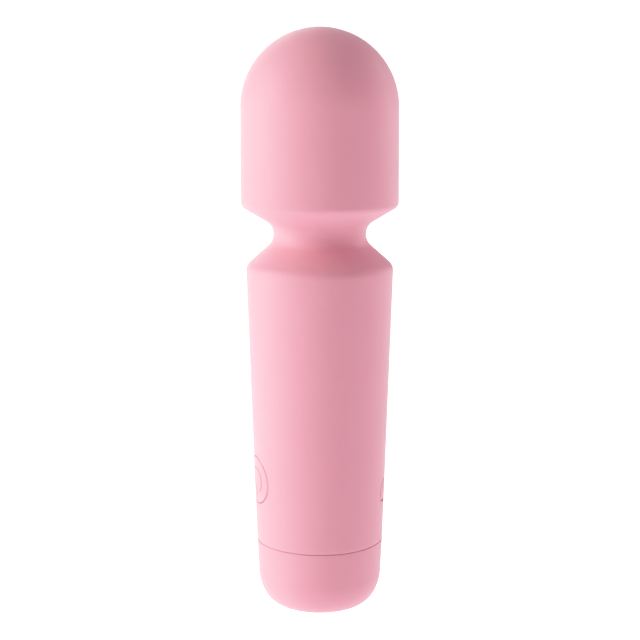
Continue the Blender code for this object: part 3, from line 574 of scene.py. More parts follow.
# The bung's stem is hollow, with two soft ribs that grip the jack.
bung_stem = [(1.30, 11.25), (1.14, 11.17), (1.10, 11.0), (1.10, 10.1), (1.22, 9.95), (1.22, 9.75), (1.10, 9.6), (1.10, 8.9), (1.20, 8.75), (1.20, 8.55), (1.08, 8.4), (1.06, 7.45), (0.98, 7.25), (0.86, 7.2)]
bung_stem += [(0.72, 7.2), (0.62, 7.3), (0.60, 7.6), (0.60, 10.3), (0.45, 10.5), (0.2, 10.58)]
bung = disc_face("bung_skin", PORT_ANGLE, PORT_Z, BUNG_R, bung_face, 11.25, 0.22, 1.0, SILICONE, rings=24, spokes=128, stem=bung_stem)
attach(bung, "port_bung")
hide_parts("charge_port_bung")

# ------------------------------------------------------------------ the neck's rubber core and its wires, each cut in two at the pivot height
def smooth_route(points, step):
    """Points every step mm along a Catmull-Rom curve through the given ones."""
    pts = [Vector(p) for p in points]
    pts = [2 * pts[0] - pts[1]] + pts + [2 * pts[-1] - pts[-2]]
    fine = []
    for i in range(1, len(pts) - 2):
        a, b, c, d = pts[i - 1 : i + 3]
        for k in range(40):
            t = k / 40
            fine.append(0.5 * ((2 * b) + (c - a) * t + (2 * a - 5 * b + 4 * c - d) * t * t + (3 * b - a - 3 * c + d) * t * t * t))
    fine.append(pts[-2])
    total = sum((q - p).length for p, q in zip(fine, fine[1:]))
    count = max(3, round(total / step))
    out, walked, k = [fine[0]], 0.0, 0
    for n in range(1, count):
        want = total * n / count
        while walked + (fine[k + 1] - fine[k]).length < want:
            walked += (fine[k + 1] - fine[k]).length
            k += 1
        out.append(fine[k].lerp(fine[k + 1], (want - walked) / (fine[k + 1] - fine[k]).length))
    return out + [fine[-1]]


def tube(name, route, radius, look, sides=20, round_ends=(True, True)):
    """A closed round tube along a route in mm. radius is a number, or a function of the distance along the route."""
    size = radius if callable(radius) else (lambda s: radius)
    tangents = []
    for i, p in enumerate(route):
        a, b = route[max(i - 1, 0)], route[min(i + 1, len(route) - 1)]
        tangents.append((b - a).normalized())
    side = tangents[0].orthogonal().normalized()
    points, faces, rings, walked = [], [], [], 0.0

    def ring(centre, tangent, r):
        up = tangent.cross(side).normalized()
        rings.append(range(len(points), len(points) + sides))
        points.extend(tuple(centre + (side * math.cos(2 * math.pi * k / sides) + up * math.sin(2 * math.pi * k / sides)) * r) for k in range(sides))

    for i, (p, t) in enumerate(zip(route, tangents)):
        if i:
            walked += (p - route[i - 1]).length
        side = (side - t * side.dot(t)).normalized()
        r = size(walked)
        edge = 0.3 * r
        if i == 0:
            ring(p, t, r - edge if round_ends[0] else r)
            if round_ends[0]:
                ring(p + t * edge * 0.3, t, r - edge * 0.3)
                ring(p + t * edge, t, r)
        elif i == len(route) - 1:
            if round_ends[1]:
                ring(p - t * edge, t, r)
                ring(p - t * edge * 0.3, t, r - edge * 0.3)
            ring(p, t, r - edge if round_ends[1] else r)
        else:
            ring(p, t, r)
    for a, b in zip(rings, rings[1:]):
        for k in range(sides):
            n = (k + 1) % sides
            faces.append((a[k], a[n], b[n], b[k]))
    faces.append(tuple(rings[0])[::-1])
    faces.append(tuple(rings[-1]))
    return from_lists(name, points, faces, look, 50)


CORE_R, WAIST_R, CORE_BORE = 6.4, 5.0, 3.2
core_corners, core_round = [(8.8, 82.6), (8.8, 81.3), (CORE_R, 81.3)], [0.4, 0.4, 0.5]
for i in range(3):
    top = 77.4 - i * 3.2
    core_corners += [(CORE_R, top), (WAIST_R, top - 0.8), (WAIST_R, top - 1.6), (CORE_R, top - 2.4)]
    core_round += [0.35, 0.5, 0.5, 0.35]
core_corners += [(CORE_R, 63.8), (8.8, 63.8), (8.8, 62.2), (CORE_BORE, 62.2), (CORE_BORE, 82.6)]
core_round += [0.5, 0.4, 0.4, 0.3, 0.3]
core = spaced(rounded(core_corners, core_round, 6), 0.5)
core.append(core[0])


def clip_loop(loop, z0, above):
    """The part of a closed profile above or below a height, closed along that height."""
    keep = (lambda z: z >= z0) if above else (lambda z: z <= z0)
    out = []
    for a, b in zip(loop, loop[1:]):
        if keep(a[1]):
            out.append(a)
        if keep(a[1]) != keep(b[1]):
            t = (z0 - a[1]) / (b[1] - a[1])
            out.append((a[0] + (b[0] - a[0]) * t, z0))
    return out


core_low = turned("neck_core_low", clip_loop(core, PIVOT_Z, False), RUBBER, sides=96)
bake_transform(core_low)
core_high = turned("neck_core_high", clip_loop(core, PIVOT_Z, True), RUBBER, sides=96)
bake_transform(core_high)
for piece in (core_low, core_high):
    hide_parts("neck_core")

PAD_Y = -5.15
for side, colour in ((1, "red"), (-1, "black")):
    route = smooth_route([(1.6 * side, PAD_Y, 54.2), (1.6 * side, PAD_Y, 57.2), (1.5 * side, -3.0, 60.4), (1.3 * side, -0.6, 64.2), (1.2 * side, 0, 69.2), (1.2 * side, 0, 76.2), (1.3 * side, 0, 80.7), (2.6 * side, 0, 83.0), (3.7 * side, 0, 83.95)], 0.5)
    above = next(i for i, p in enumerate(route) if p.z > PIVOT_Z)
    meet = route[above - 1].lerp(route[above], (PIVOT_Z - route[above - 1].z) / (route[above].z - route[above - 1].z))
    low = tube(f"motor_wire_{colour}_low", route[:above] + [meet], 0.4, WIRES["wire_" + colour], round_ends=(True, False))
    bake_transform(low)
    high = tube(f"motor_wire_{colour}_high", [meet] + route[above:], 0.4, WIRES["wire_" + colour], round_ends=(False, True))
    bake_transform(high)
    for piece in (low, high):
        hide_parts("motor_wire_" + colour)

# ------------------------------------------------------------------ helpers for the pieces inside
def refresh(obj, smooth_angle=40):
    obj.data.shade_smooth()
    obj.data.set_sharp_from_angle(angle=math.radians(smooth_angle))


def boolean(obj, other, operation="DIFFERENCE"):
    """Cuts or joins for good, and removes the other object."""
    step = obj.modifiers.new("shape", "BOOLEAN")
    step.operation = operation
    step.solver = "EXACT"
    step.object = other
    bpy.context.view_layer.update()
    made = bpy.data.meshes.new_from_object(obj.evaluated_get(bpy.context.evaluated_depsgraph_get()))
    obj.modifiers.clear()
    obj.data = made
    bpy.data.objects.remove(other, do_unlink=True)
    refresh(obj)
    return obj


def seat(obj, matrix):
    """Moves the mesh itself, so that the object stays at the origin."""
    obj.data.transform(matrix)
    obj.data.update()
    return obj


def turn_to(origin, degrees_x=0.0, degrees_z=0.0):
    return Matrix.Translation([mm(v) for v in origin]) @ Matrix.Rotation(math.radians(degrees_z), 4, "Z") @ Matrix.Rotation(math.radians(degrees_x), 4, "X")


# In these two frames local +Z points straight out of the handle and local +Y points up.
BUTTON_FRAME = turn_to((0, 0, BUTTON_Z), 90, 0)
PORT_FRAME = turn_to((0, 0, PORT_Z), 90, PORT_ANGLE + 90)


def part(obj, body, slot, *nodes):
    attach(obj, body)
    if nodes:
        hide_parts(*nodes)
    return obj


def block(name, boxes, look, edge=0.08, segments=3):
    """One or more blocks with rounded edges, each from its lowest to its highest corner in mm, as one mesh."""
    shape = bmesh.new()
    for low, high in boxes:
        made = bmesh.ops.create_cube(shape, size=1.0)["verts"]
        size = [mm(b - a) for a, b in zip(low, high)]
        middle = [mm((a + b) / 2) for a, b in zip(low, high)]
        bmesh.ops.scale(shape, vec=size, verts=made)
        bmesh.ops.translate(shape, vec=middle, verts=made)
        edges = list({e for v in made for e in v.link_edges})
        bmesh.ops.bevel(shape, geom=edges, offset=min(mm(edge), 0.45 * min(size)), segments=segments, profile=0.5, affect="EDGES")
    bmesh.ops.recalc_face_normals(shape, faces=shape.faces)
    mesh = bpy.data.meshes.new(name)
    shape.to_mesh(mesh)
    shape.free()
    return link(name, mesh, look, 30)


def inset(outline, by):
    """A closed outline (anticlockwise) moved inwards."""
    out, n = [], len(outline)
    for i in range(n):
        p = Vector(outline[i])
        a, b = (p - Vector(outline[i - 1])).normalized(), (Vector(outline[(i + 1) % n]) - p).normalized()
        na, nb = Vector((-a.y, a.x)), Vector((-b.y, b.x))
        m = na + nb
        m = m / max(m.length_squared, 0.5) * 2
        out.append(tuple(p + m * by))
    return out


def prism(name, outline, low, high, look, edge=0.1, steps=3):
    """A flat outline in mm made into a block between two heights, with rounded upper and lower edges."""
    area = sum(a[0] * b[1] - b[0] * a[1] for a, b in zip(outline, outline[1:] + outline[:1]))
    if area < 0:
        outline = outline[::-1]
    levels = [(edge * (1 - math.sin(math.pi / 2 * i / steps)), low + edge * (1 - math.cos(math.pi / 2 * i / steps))) for i in range(steps + 1)]
    levels += [(by, low + high - z) for by, z in levels[::-1]]
    points, faces, n = [], [], len(outline)
    for by, z in levels:
        points += [(x, y, z) for x, y in (inset(outline, by) if by > 1e-9 else outline)]
    for j in range(len(levels) - 1):
        for k in range(n):
            faces.append((j * n + k, j * n + (k + 1) % n, (j + 1) * n + (k + 1) % n, (j + 1) * n + k))
    faces.append(tuple(range(n))[::-1])
    faces.append(tuple(range((len(levels) - 1) * n, len(levels) * n)))
    return from_lists(name, points, faces, look, 35)


def shaped(name, profile, look, radius_at, sides=192):
    """A closed profile turned about Z, whose radius at each point and angle is given by radius_at(r, z, angle)."""
    points, faces, n = [], [], len(profile)
    for k in range(sides):
        t = 2 * math.pi * k / sides
        for r, z in profile:
            q = radius_at(r, z, t)
            points.append((q * math.cos(t), q * math.sin(t), z))
    for k in range(sides):
        m = (k + 1) % sides
        for j in range(n):
            i = (j + 1) % n
            faces.append((k * n + j, m * n + j, m * n + i, k * n + i))
    return from_lists(name, points, faces, look, 45)


def bead(name, centre, radius, height, look, axis="Y", body="handle"):
    """A drop of solder: a low dome that spreads at its foot, on a face whose outward way is +axis (or -axis, if height is below 0)."""
    tall = abs(height)
    profile = [(radius * 1.12, 0.0), (radius * 1.02, tall * 0.10)] + [(radius * math.cos(q) ** 0.85, tall * (0.18 + 0.82 * math.sin(q))) for q in (math.pi / 2 * i / 10 for i in range(1, 10))] + [(0.0, tall)]
    obj = turned(name, [(0.0, 0.0)] + profile, look, sides=32, closed=False)
    sign = 1 if height > 0 else -1
    turn = {"Z": Matrix.Identity(4) if sign > 0 else Matrix.Rotation(math.pi, 4, "X"), "Y": Matrix.Rotation(-sign * math.pi / 2, 4, "X"), "X": Matrix.Rotation(sign * math.pi / 2, 4, "Y")}[axis]
    return seat(obj, Matrix.Translation([mm(v) for v in centre]) @ turn)


# ------------------------------------------------------------------ base cap: turned plug and O-ring
def cap_hollow(gap, count):
    low, side = gap + 0.2, BASE_CORNER_R - gap
    return [
        (6.6 + (side - 6.6) * math.sin(u), low + (7.1 - low) * (1 - math.cos(u)))
        for u in (math.pi / 2 * i / count for i in range(count + 1))
    ]


plug_side = handle_r(12.9) - 1.72
plug = rounded(
    [(0.0, 10.0), (6.6, 10.0), (7.6, 11.0), (7.6, 17.6), (8.9, 17.6), (8.9, 15.8), (8.3, 15.8), (8.3, 14.4), (8.9, 14.4), (8.9, 13.1), (plug_side, 13.1)],
    [0, 0.5, 0.4, 0.2, 0.4, 0.12, 0.12, 0.12, 0.12, 0.15, 0],
    5, closed=False,
)
plug += cap_hollow(1.72, 14)[::-1] + [(0.0, cap_hollow(1.72, 14)[0][1])]
part(turned("base_plug", plug, PLUG, sides=128, closed=False, smooth_angle=35), "base_cap", "plug_metal", "base_cap_plug")
ring = [(8.78 + 0.42 * math.cos(2 * math.pi * i / 24), 15.1 + 0.42 * math.sin(2 * math.pi * i / 24)) for i in range(24)]
part(turned("o_ring", ring, RUBBER, sides=128), "base_cap", "rubber_dark", "base_o_ring")

# ------------------------------------------------------------------ head: two hard cups, rubber mount
SHELL_R, JOIN_Z = 13.3, 96.5
part(
    turned("shell_lower", rounded(
        [(SHELL_R, JOIN_Z - 0.15), (SHELL_R, 80.4), (SHELL_R - 0.9, 79.5), (6.9, 79.5), (6.9, 81.0), (SHELL_R - 1.2, 81.0), (SHELL_R - 1.2, JOIN_Z - 0.15)],
        [0.12, 0.8, 0.8, 0.3, 0.3, 0.6, 0.12]), ABS, sides=128),
    "head", "abs_white", "head_shell_lower",
)
upper_out = [(SHELL_R * math.sin(q), DOME_Z + SHELL_R * math.cos(q)) for q in (math.pi / 2 * i / 30 for i in range(31))]
upper_out[0] = (0.0, upper_out[0][1])
upper_out[-1] = (SHELL_R, JOIN_Z + 0.05)
upper_in = [((SHELL_R - 1.2) * math.sin(q), DOME_Z + (SHELL_R - 1.2) * math.cos(q)) for q in (math.pi / 2 * i / 26 for i in range(27))]
upper_in[0] = (0.0, upper_in[0][1])
spigot = rounded([upper_out[-1], (SHELL_R - 1.4, JOIN_Z + 0.05), (SHELL_R - 1.4, 94.4), (SHELL_R - 2.3, 94.4), (SHELL_R - 2.3, 96.2), upper_in[-2]], [0, 0.1, 0.2, 0.2, 0, 0], 4, closed=False)
part(turned("shell_upper", upper_out + spigot[1:-1] + upper_in[:-1][::-1], ABS, sides=128, closed=False), "head", "abs_white", "head_shell_upper")

CAN_R, CAN_LOW, CAN_HIGH = 8.0, 86.2, 99.2
mount_profile = spaced(rounded([(CAN_R + 0.25, 94.0), (10.0, 94.0), (11.1, 93.0), (11.1, 87.8), (10.0, 86.8), (CAN_R + 0.25, 86.8)], [0.2, 0.5, 0.4, 0.4, 0.5, 0.2]), 0.6)


def mount_radius(r, z, angle):
    """Four round flutes down the outside."""
    off = abs((math.degrees(angle) - 45 + 45) % 90 - 45)
    x = 11.2 * math.sin(math.radians(off))
    if x >= 1.5:
        return r
    return min(r, 11.2 * math.cos(math.radians(off)) - math.sqrt(1.5 * 1.5 - x * x))


part(shaped("rubber_mount", mount_profile, RUBBER, mount_radius, 288), "head", "rubber_dark", "motor_mount")

# ------------------------------------------------------------------ motor: can, bush, magnets, end cap, terminals
part(
    turned("can", rounded(
        [(2.8, CAN_HIGH + 0.5), (3.8, CAN_HIGH + 0.5), (3.8, CAN_HIGH), (CAN_R, CAN_HIGH), (CAN_R, CAN_LOW), (CAN_R - 0.55, CAN_LOW), (CAN_R - 0.55, CAN_HIGH - 0.6), (2.8, CAN_HIGH - 0.6)],
        [0.1, 0.15, 0.3, 0.8, 0.08, 0.08, 0.5, 0.1], 6), STEEL, sides=128),
    "head", "steel", "motor_can",
)
part(turned("bush", rounded([(2.6, CAN_HIGH + 0.9), (2.6, CAN_HIGH - 0.9), (1.07, CAN_HIGH - 0.9), (1.07, CAN_HIGH + 0.9)], 0.2, 4), BRONZE, sides=64), "head", "bronze", "motor_bush")


def magnet(name, side):
    """A curved magnet whose ends are cut off square."""
    section = rounded([(7.15, 97.2), (7.15, 88.7), (6.2, 88.7), (6.2, 97.2)], 0.15, 4)
    points, faces, n, steps = [], [], len(section), 40
    for i in range(steps + 1):
        for r, z in section:
            t = math.acos(3.4 / r) * (2 * i / steps - 1)
            points.append((side * r * math.cos(t), r * math.sin(t), z))
    for i in range(steps):
        for j in range(n):
            m = (j + 1) % n
            faces.append((i * n + j, (i + 1) * n + j, (i + 1) * n + m, i * n + m))
    faces += [tuple(range(n)), tuple(range(steps * n, steps * n + n))[::-1]]
    return from_lists(name, points, faces, FERRITE, 40)


part(magnet("magnet_left", -1), "head", "ferrite", "motor_magnet_left")
part(magnet("magnet_right", 1), "head", "ferrite", "motor_magnet_right")
end_cap = turned("end_cap", [(0.0, 84.2)] + rounded(
    [(0.0, 84.2), (2.4, 84.2), (2.4, 84.9), (CAN_R, 84.9), (CAN_R, 86.05), (CAN_R - 0.85, 86.05), (CAN_R - 0.85, 86.5), (2.2, 86.5), (2.2, 87.1), (1.07, 87.1), (1.07, 84.8), (0.0, 84.8)],
    [0, 0.2, 0.15, 0.3, 0.1, 0.1, 0.1, 0.15, 0.1, 0.1, 0, 0], 4, closed=False)[1:], NYLON, sides=128, closed=False)
for side in (-1, 1):
    x0, x1 = sorted((side * 4.3, side * 4.7))
    boolean(end_cap, block("slot", [((x0 - 0.12, -1.12, 83), (x1 + 0.12, 1.12, 89))], NYLON, 0.03, 1))
part(end_cap, "head", "nylon", "motor_end_cap")
for side, tag in ((-1, "left"), (1, "right")):
    # Brush leaf and solder tab are one bent strip, drawn from the side and given its width.
    bend = [(4.3, 83.5), (4.7, 83.5), (4.7, 88.3), (2.6, 88.3), (2.6, 87.9), (4.3, 87.9)]
    strip = prism("terminal_" + tag, rounded(bend, [0.12, 0.12, 0.7, 0.1, 0.1, 0.35], 5), -0.95, 0.95, BRONZE, 0.08)
    seat(strip, Matrix.Rotation(math.pi / 2, 4, "X"))
    if side < 0:
        seat(strip, Matrix.Rotation(math.pi, 4, "Z"))
    part(strip, "head", "bronze", "motor_terminal_" + tag)
    part(bead("tab_solder_" + tag, (side * 4.29, 0.0, 83.95), 0.62, -side * 0.75, TIN, "X"), "head", "steel")

# ------------------------------------------------------------------ rotor: shaft, commutator, wound armature, weight
part(turned("shaft", rounded([(0.0, 105.2), (1.0, 105.2), (1.0, 85.0), (0.0, 85.0)], [0, 0.18, 0.18, 0], 4, closed=False), STEEL, sides=64, closed=False), "rotor", "steel", "rotor_shaft")


def segment_radius(r, z, angle):
    """Three narrow slots between the copper segments."""
    off = abs((math.degrees(angle) + 30 + 60) % 120 - 60)
    return r - 0.22 if off < 4.0 and r > 1.5 else r


part(shaped("commutator_segments", rounded([(2.3, 89.6), (2.3, 87.3), (1.1, 87.3), (1.1, 89.6)], [0.2, 0.2, 0.05, 0.05], 4), COPPER, segment_radius, 180), "rotor", "copper", "commutator")
pole = []
for k in range(3):
    base, half, rim = math.radians(90 + 120 * k), math.radians(46), 4.7
    pole += [(2.3, base - math.asin(0.9 / 2.3)), (rim, base - math.asin(0.9 / rim)), (rim, base - half)]
    pole += [(5.5, base - half + 2 * half * i / 18) for i in range(19)]
    pole += [(rim, base + half), (rim, base + math.asin(0.9 / rim)), (2.3, base + math.asin(0.9 / 2.3))]
pole = [(r * math.cos(a), r * math.sin(a)) for r, a in pole]
core_block = prism("armature_core", pole, 90.2, 96.4, LAMINATED, 0.06, 2)
boolean(core_block, turned("bore", [(0.0, 80.0), (1.06, 80.0), (1.06, 100.0), (0.0, 100.0)], STEEL, sides=64, closed=False))
part(core_block, "rotor", "iron", "armature")


def winding(name, degrees):
    """Copper wire wound round one pole's stem: each turn of wire is a ridge on the coil."""
    pitch, across, deep = 0.28, 6, 3
    section = []
    for i in range(across):
        section += [(deep * pitch + 0.5 * pitch * math.sin(q), (i + 0.5) * pitch - 0.5 * pitch * math.cos(q)) for q in (math.pi * j / 4 for j in range(5))]
    for i in range(deep):
        section += [((deep - i - 0.5) * pitch + 0.5 * pitch * math.cos(q), across * pitch + 0.5 * pitch * math.sin(q)) for q in (math.pi * j / 4 for j in range(5))]
    section += [(0.02, across * pitch), (0.02, 0.0)]
    for i in range(deep):
        section += [((i + 0.5) * pitch - 0.5 * pitch * math.cos(q), -0.5 * pitch * math.sin(q)) for q in (math.pi * j / 4 for j in range(5))]
    clean = [section[0]]
    for p in section[1:]:
        if math.hypot(p[0] - clean[-1][0], p[1] - clean[-1][1]) > 0.01:
            clean.append(p)
    half_w, half_h, bend = 0.98, 3.2, 0.45
    path = []
    for cx, cz, start in ((half_w - bend, half_h - bend, 0), (-half_w + bend, half_h - bend, 90), (-half_w + bend, -half_h + bend, 180), (half_w - bend, -half_h + bend, 270)):
        for i in range(9):
            q = math.radians(start + 90 * i / 8)
            path.append((cx + bend * math.cos(q), cz + bend * math.sin(q), math.cos(q), math.sin(q)))
    points, faces, n, m = [], [], len(clean), len(path)
    for x, z, nx, nz in path:
        for u, v in clean:
            points.append((2.75 + v, x + nx * u, 93.3 + z + nz * u))
    for i in range(m):
        for j in range(n):
            a, b = (i + 1) % m, (j + 1) % n
            faces.append((i * n + j, a * n + j, a * n + b, i * n + b))
    return seat(from_lists(name, points, faces, COPPER, 40), Matrix.Rotation(math.radians(degrees), 4, "Z"))


for k in range(3):
    part(winding(f"winding_{k + 1}", 90 + 120 * k), "rotor", "copper", "armature")
lobe = [(6.0 * math.cos(math.radians(a)), 6.0 * math.sin(math.radians(a))) for a in range(-80, 81, 4)]
lobe += [(2.6 * math.cos(math.radians(a)), 2.6 * math.sin(math.radians(a))) for a in range(100, 261, 8)]
weight = prism("weight", lobe, 100.7, 104.4, TUNGSTEN, 0.3, 4)
boolean(weight, turned("bore", [(0.0, 95.0), (1.05, 95.0), (1.05, 110.0), (0.0, 110.0)], STEEL, sides=64, closed=False))
part(weight, "rotor", "tungsten", "eccentric_weight")

# ------------------------------------------------------------------ power button's key and plunger, switch, charging jack
part(seat(turned("key", rounded([(0.0, 11.0), (4.0, 11.0), (4.0, 10.2), (1.4, 10.2), (1.4, 9.95), (0.0, 9.95)], [0, 0.25, 0.2, 0.1, 0.08, 0], 4, closed=False), ABS, sides=96, closed=False), BUTTON_FRAME), "button", "abs_white", "button_key")
part(seat(turned("plunger", rounded([(0.0, 9.85), (1.5, 9.85), (1.5, 8.45), (0.0, 8.45)], [0, 0.25, 0.1, 0], 4, closed=False), BLACK, sides=64, closed=False), BUTTON_FRAME), "button", "plastic_black", "switch_plunger")
well = [(0.0, 7.9), (1.68, 7.9), (1.68, 12.0), (0.0, 12.0)]
switch_body = block("switch_body", [((-3.0, -8.62, BUTTON_Z - 3.0), (3.0, -6.8, BUTTON_Z + 3.0))], BLACK, 0.15)
boolean(switch_body, seat(turned("well", well, BLACK, sides=64, closed=False), BUTTON_FRAME))
part(switch_body, "handle", "plastic_black", "tact_switch")
switch_plate = block("switch_plate", [((-2.95, -8.88, BUTTON_Z - 2.95), (2.95, -8.66, BUTTON_Z + 2.95))], STEEL, 0.07)
boolean(switch_plate, seat(turned("well", well, BLACK, sides=64, closed=False), BUTTON_FRAME))
part(switch_plate, "handle", "steel", "tact_switch")
for i, (x, z) in enumerate(((-2.3, -2.3), (2.3, -2.3), (-2.3, 2.3), (2.3, 2.3))):
    part(bead(f"switch_rivet_{i + 1}", (x, -8.87, BUTTON_Z + z), 0.34, -0.14, BLACK, "Y"), "handle", "plastic_black")
legs = []
for side in (-1, 1):
    for z in (-2.25, 2.25):
        a, b = sorted((side * 3.02, side * 3.9))
        legs.append(((a, -6.98, BUTTON_Z + z - 0.35), (b, -6.74, BUTTON_Z + z + 0.35)))
part(block("switch_legs", legs, TIN, 0.06), "handle", "steel")

jack = rounded([(1.42, 10.75), (2.5, 10.75), (2.5, 4.2), (0.0, 4.2)], [0.12, 0.2, 0.25, 0], 4, closed=False)
jack = [(0.0, 5.4), (0.5, 5.4), (0.5, 5.2), (1.42, 5.2)] + jack
part(seat(turned("jack_body", jack, BLACK, sides=96, closed=False), PORT_FRAME), "handle", "plastic_black", "charge_jack")
liner = rounded([(1.40, 10.62), (1.40, 5.3), (1.27, 5.3), (1.27, 10.62)], 0.05, 3)
part(seat(turned("jack_liner", liner, STEEL, sides=96), PORT_FRAME), "handle", "steel", "charge_jack")
part(seat(turned("centre_pin", rounded([(0.0, 10.0), (0.35, 9.85), (0.35, 5.5), (0.0, 5.5)], [0, 0.25, 0.05, 0], 4, closed=False), BRONZE, sides=48, closed=False), PORT_FRAME), "handle", "bronze", "jack_pin")

# ------------------------------------------------------------------ circuit board and what is on it
part(block("board", [((-5.5, -6.7, 18.6), (5.5, -5.7, 55.2))], BOARD, 0.12), "handle", "board_green", "pcb")
pads, bodies, ends, caps = [], [], [], []
FRONT, REAR = -6.7, -5.7
for x, z in ((-3.4, 31.2), (-1.2, 31.2), (1.2, 31.2), (3.4, 31.2), (-3.6, 36.6), (-3.6, 39.2), (3.4, 38.0), (3.4, 41.0), (-2.6, 44.5), (0.4, 44.5), (3.0, 45.4)):
    # A chip resistor or capacitor on the front face, with its tinned ends.
    bodies.append(((x - 0.52, FRONT - 0.42, z - 0.38), (x + 0.52, FRONT - 0.03, z + 0.38)))
    for side in (-1, 1):
        a, b = sorted((x + side * 0.54, x + side * 0.80))
        ends.append(((a, FRONT - 0.44, z - 0.40), (b, FRONT - 0.03, z + 0.40)))
for x, z in ((-3.2, 47.6), (-3.2, 50.2), (1.2, 48.4), (1.2, 51.0)):
    caps.append(((x - 0.75, FRONT - 0.85, z - 0.6), (x + 0.75, FRONT - 0.03, z + 0.6)))
    for side in (-1, 1):
        a, b = sorted((x + side * 0.77, x + side * 1.05))
        ends.append(((a, FRONT - 0.87, z - 0.62), (b, FRONT - 0.03, z + 0.62)))
part(block("chip_resistors", bodies, BLACK, 0.05, 2), "handle", "plastic_black")
part(block("chip_capacitors", caps, CERAMIC, 0.08, 2), "handle", "plastic_black")
part(block("chip_ends", ends, TIN, 0.05, 2), "handle", "steel")
part(block("chip_body", [((-2.5, REAR + 0.12, 37.2), (2.5, REAR + 1.4, 41.1))], BLACK, 0.18), "handle", "plastic_black", "control_chip")
foot = rounded([(0.0, 0.62), (0.62, 0.62), (0.62, 0.2), (1.1, 0.2), (1.1, 0.02), (0.46, 0.02), (0.46, 0.44), (0.0, 0.44)], [0, 0.22, 0.08, 0.05, 0.05, 0.2, 0.08, 0], 4)
for row, sign in ((0, -1), (1, 1)):
    for i in range(4):
        leg = prism(f"chip_leg_{row * 4 + i + 1}", foot, -0.2, 0.2, TIN, 0.03, 2)
        # The outline's first axis runs away from the chip, its second one off the board.
        away, off = Vector((0, 0, sign)), Vector((0, 1, 0))
        wide = away.cross(off)
        turn = Matrix((away, off, wide)).transposed().to_4x4()
        edge_z = 41.1 if sign > 0 else 37.2
        seat(leg, Matrix.Translation((mm(-1.905 + 1.27 * i), mm(REAR), mm(edge_z))) @ turn)
        part(leg, "handle", "steel")
part(block("led_base", [((-0.8, -7.02, 34.8), (0.8, -6.8, 35.6))], ABS, 0.04, 2), "handle", "abs_white", "status_led")
part(block("led_lens", [((-0.62, -7.6, 34.86), (0.62, -7.03, 35.54))], LENS, 0.16), "handle", "led_lens", "status_led")

# ------------------------------------------------------------------ rechargeable cell, its foam, and the remaining wires
CELL_Y, CELL_Z, CELL_R, CELL_TOP = 3.4, 28.2, 6.0, 58.2
cell_profile = rounded(
    [(0.0, CELL_TOP - 0.8), (2.9, CELL_TOP - 0.8), (CELL_R - 0.5, CELL_TOP - 0.8), (CELL_R, CELL_TOP - 1.2), (CELL_R, CELL_TOP - 2.6), (CELL_R - 0.35, CELL_TOP - 2.9), (CELL_R, CELL_TOP - 3.2), (CELL_R, CELL_Z), (0.0, CELL_Z)],
    [0, 0, 0.3, 0.4, 0.15, 0.2, 0.15, 0.45, 0], 5, closed=False)
part(seat(turned("cell_can", cell_profile, CELL, sides=128, closed=False), turn_to((0, CELL_Y, 0))), "handle", "cell_case", "battery_cell")
part(seat(turned("cell_cap", rounded([(0.0, CELL_TOP), (2.2, CELL_TOP), (2.2, CELL_TOP - 0.79), (0.0, CELL_TOP - 0.79)], [0, 0.25, 0.02, 0], 4, closed=False), CELL, sides=64, closed=False), turn_to((0, CELL_Y, 0))), "handle", "cell_case", "battery_cell")
part(seat(turned("cell_seal", rounded([(2.3, CELL_TOP - 0.55), (4.2, CELL_TOP - 0.55), (4.2, CELL_TOP - 0.79), (2.3, CELL_TOP - 0.79)], 0.06, 3), BLACK, sides=96), turn_to((0, CELL_Y, 0))), "handle", "plastic_black", "battery_cell")
part(block("foam_pad", [((-3.6, -4.4, 43.2), (3.6, -2.9, 53.4))], FOAM, 0.45, 5), "handle", "foam", "battery_pad")
out = Vector((math.cos(math.radians(PORT_ANGLE)), math.sin(math.radians(PORT_ANGLE)), 0))
routes = {
    "battery_wire_red": ("wire_red", [(0.3, 3.4, 58.9), (0.3, 1.5, 60.1), (2.8, -2.4, 59.8), (4.6, PAD_Y + 0.4, 57.4), (4.7, PAD_Y, 54.2)]),
    "battery_wire_black": ("wire_black", [(0.0, 2.6, 27.4), (-1.2, -0.6, 26.6), (-2.8, -3.8, 28.6), (-3.2, PAD_Y, 31.0)]),
    "charge_wire_yellow": ("wire_yellow", [out * 3.65 + Vector((0, 0, PORT_Z + 1.2)), out * 2.2 + Vector((0, 0, PORT_Z + 1.2)), (1.56, -2.4, PORT_Z + 1.08), (2.6, PAD_Y, PORT_Z + 0.96)]),
    "charge_wire_black": ("wire_black", [out * 3.65 + Vector((0, 0, PORT_Z - 1.2)), out * 2.2 + Vector((0, 0, PORT_Z - 1.2)), (-0.72, -2.4, PORT_Z - 1.08), (-1.2, PAD_Y, PORT_Z - 0.96)]),
}
for name, (slot, route) in routes.items():
    part(tube(name + "_run", smooth_route(route, 0.4), 0.4, WIRES[slot]), "handle", slot, name)
joints_on_board = [(1.6, 54.0), (-1.6, 54.0), (4.6, 54.0), (-3.2, 31.2), (2.6, PORT_Z + 0.96), (-1.2, PORT_Z - 0.96)]
for i, (x, z) in enumerate(joints_on_board):
    part(bead(f"board_solder_{i + 1}", (x, REAR + 0.01, z), 0.72, 0.95, TIN, "Y"), "handle", "steel")
part(bead("cell_solder_top", (0.3, CELL_Y, CELL_TOP + 0.01), 0.85, 0.8, TIN, "Z"), "handle", "steel")
part(bead("cell_solder_bottom", (0.0, 2.6, CELL_Z - 0.01), 0.85, -0.95, TIN, "Z"), "handle", "steel")


# ------------------------------------------------------------------ everything inside takes its finish from its slot
for entry in frame["record"]["subparts"]:
    node = frame["nodes"][entry["node"]]
    node.data.materials.clear()
    node.data.materials.append(BY_SLOT[entry["material_slot"]])

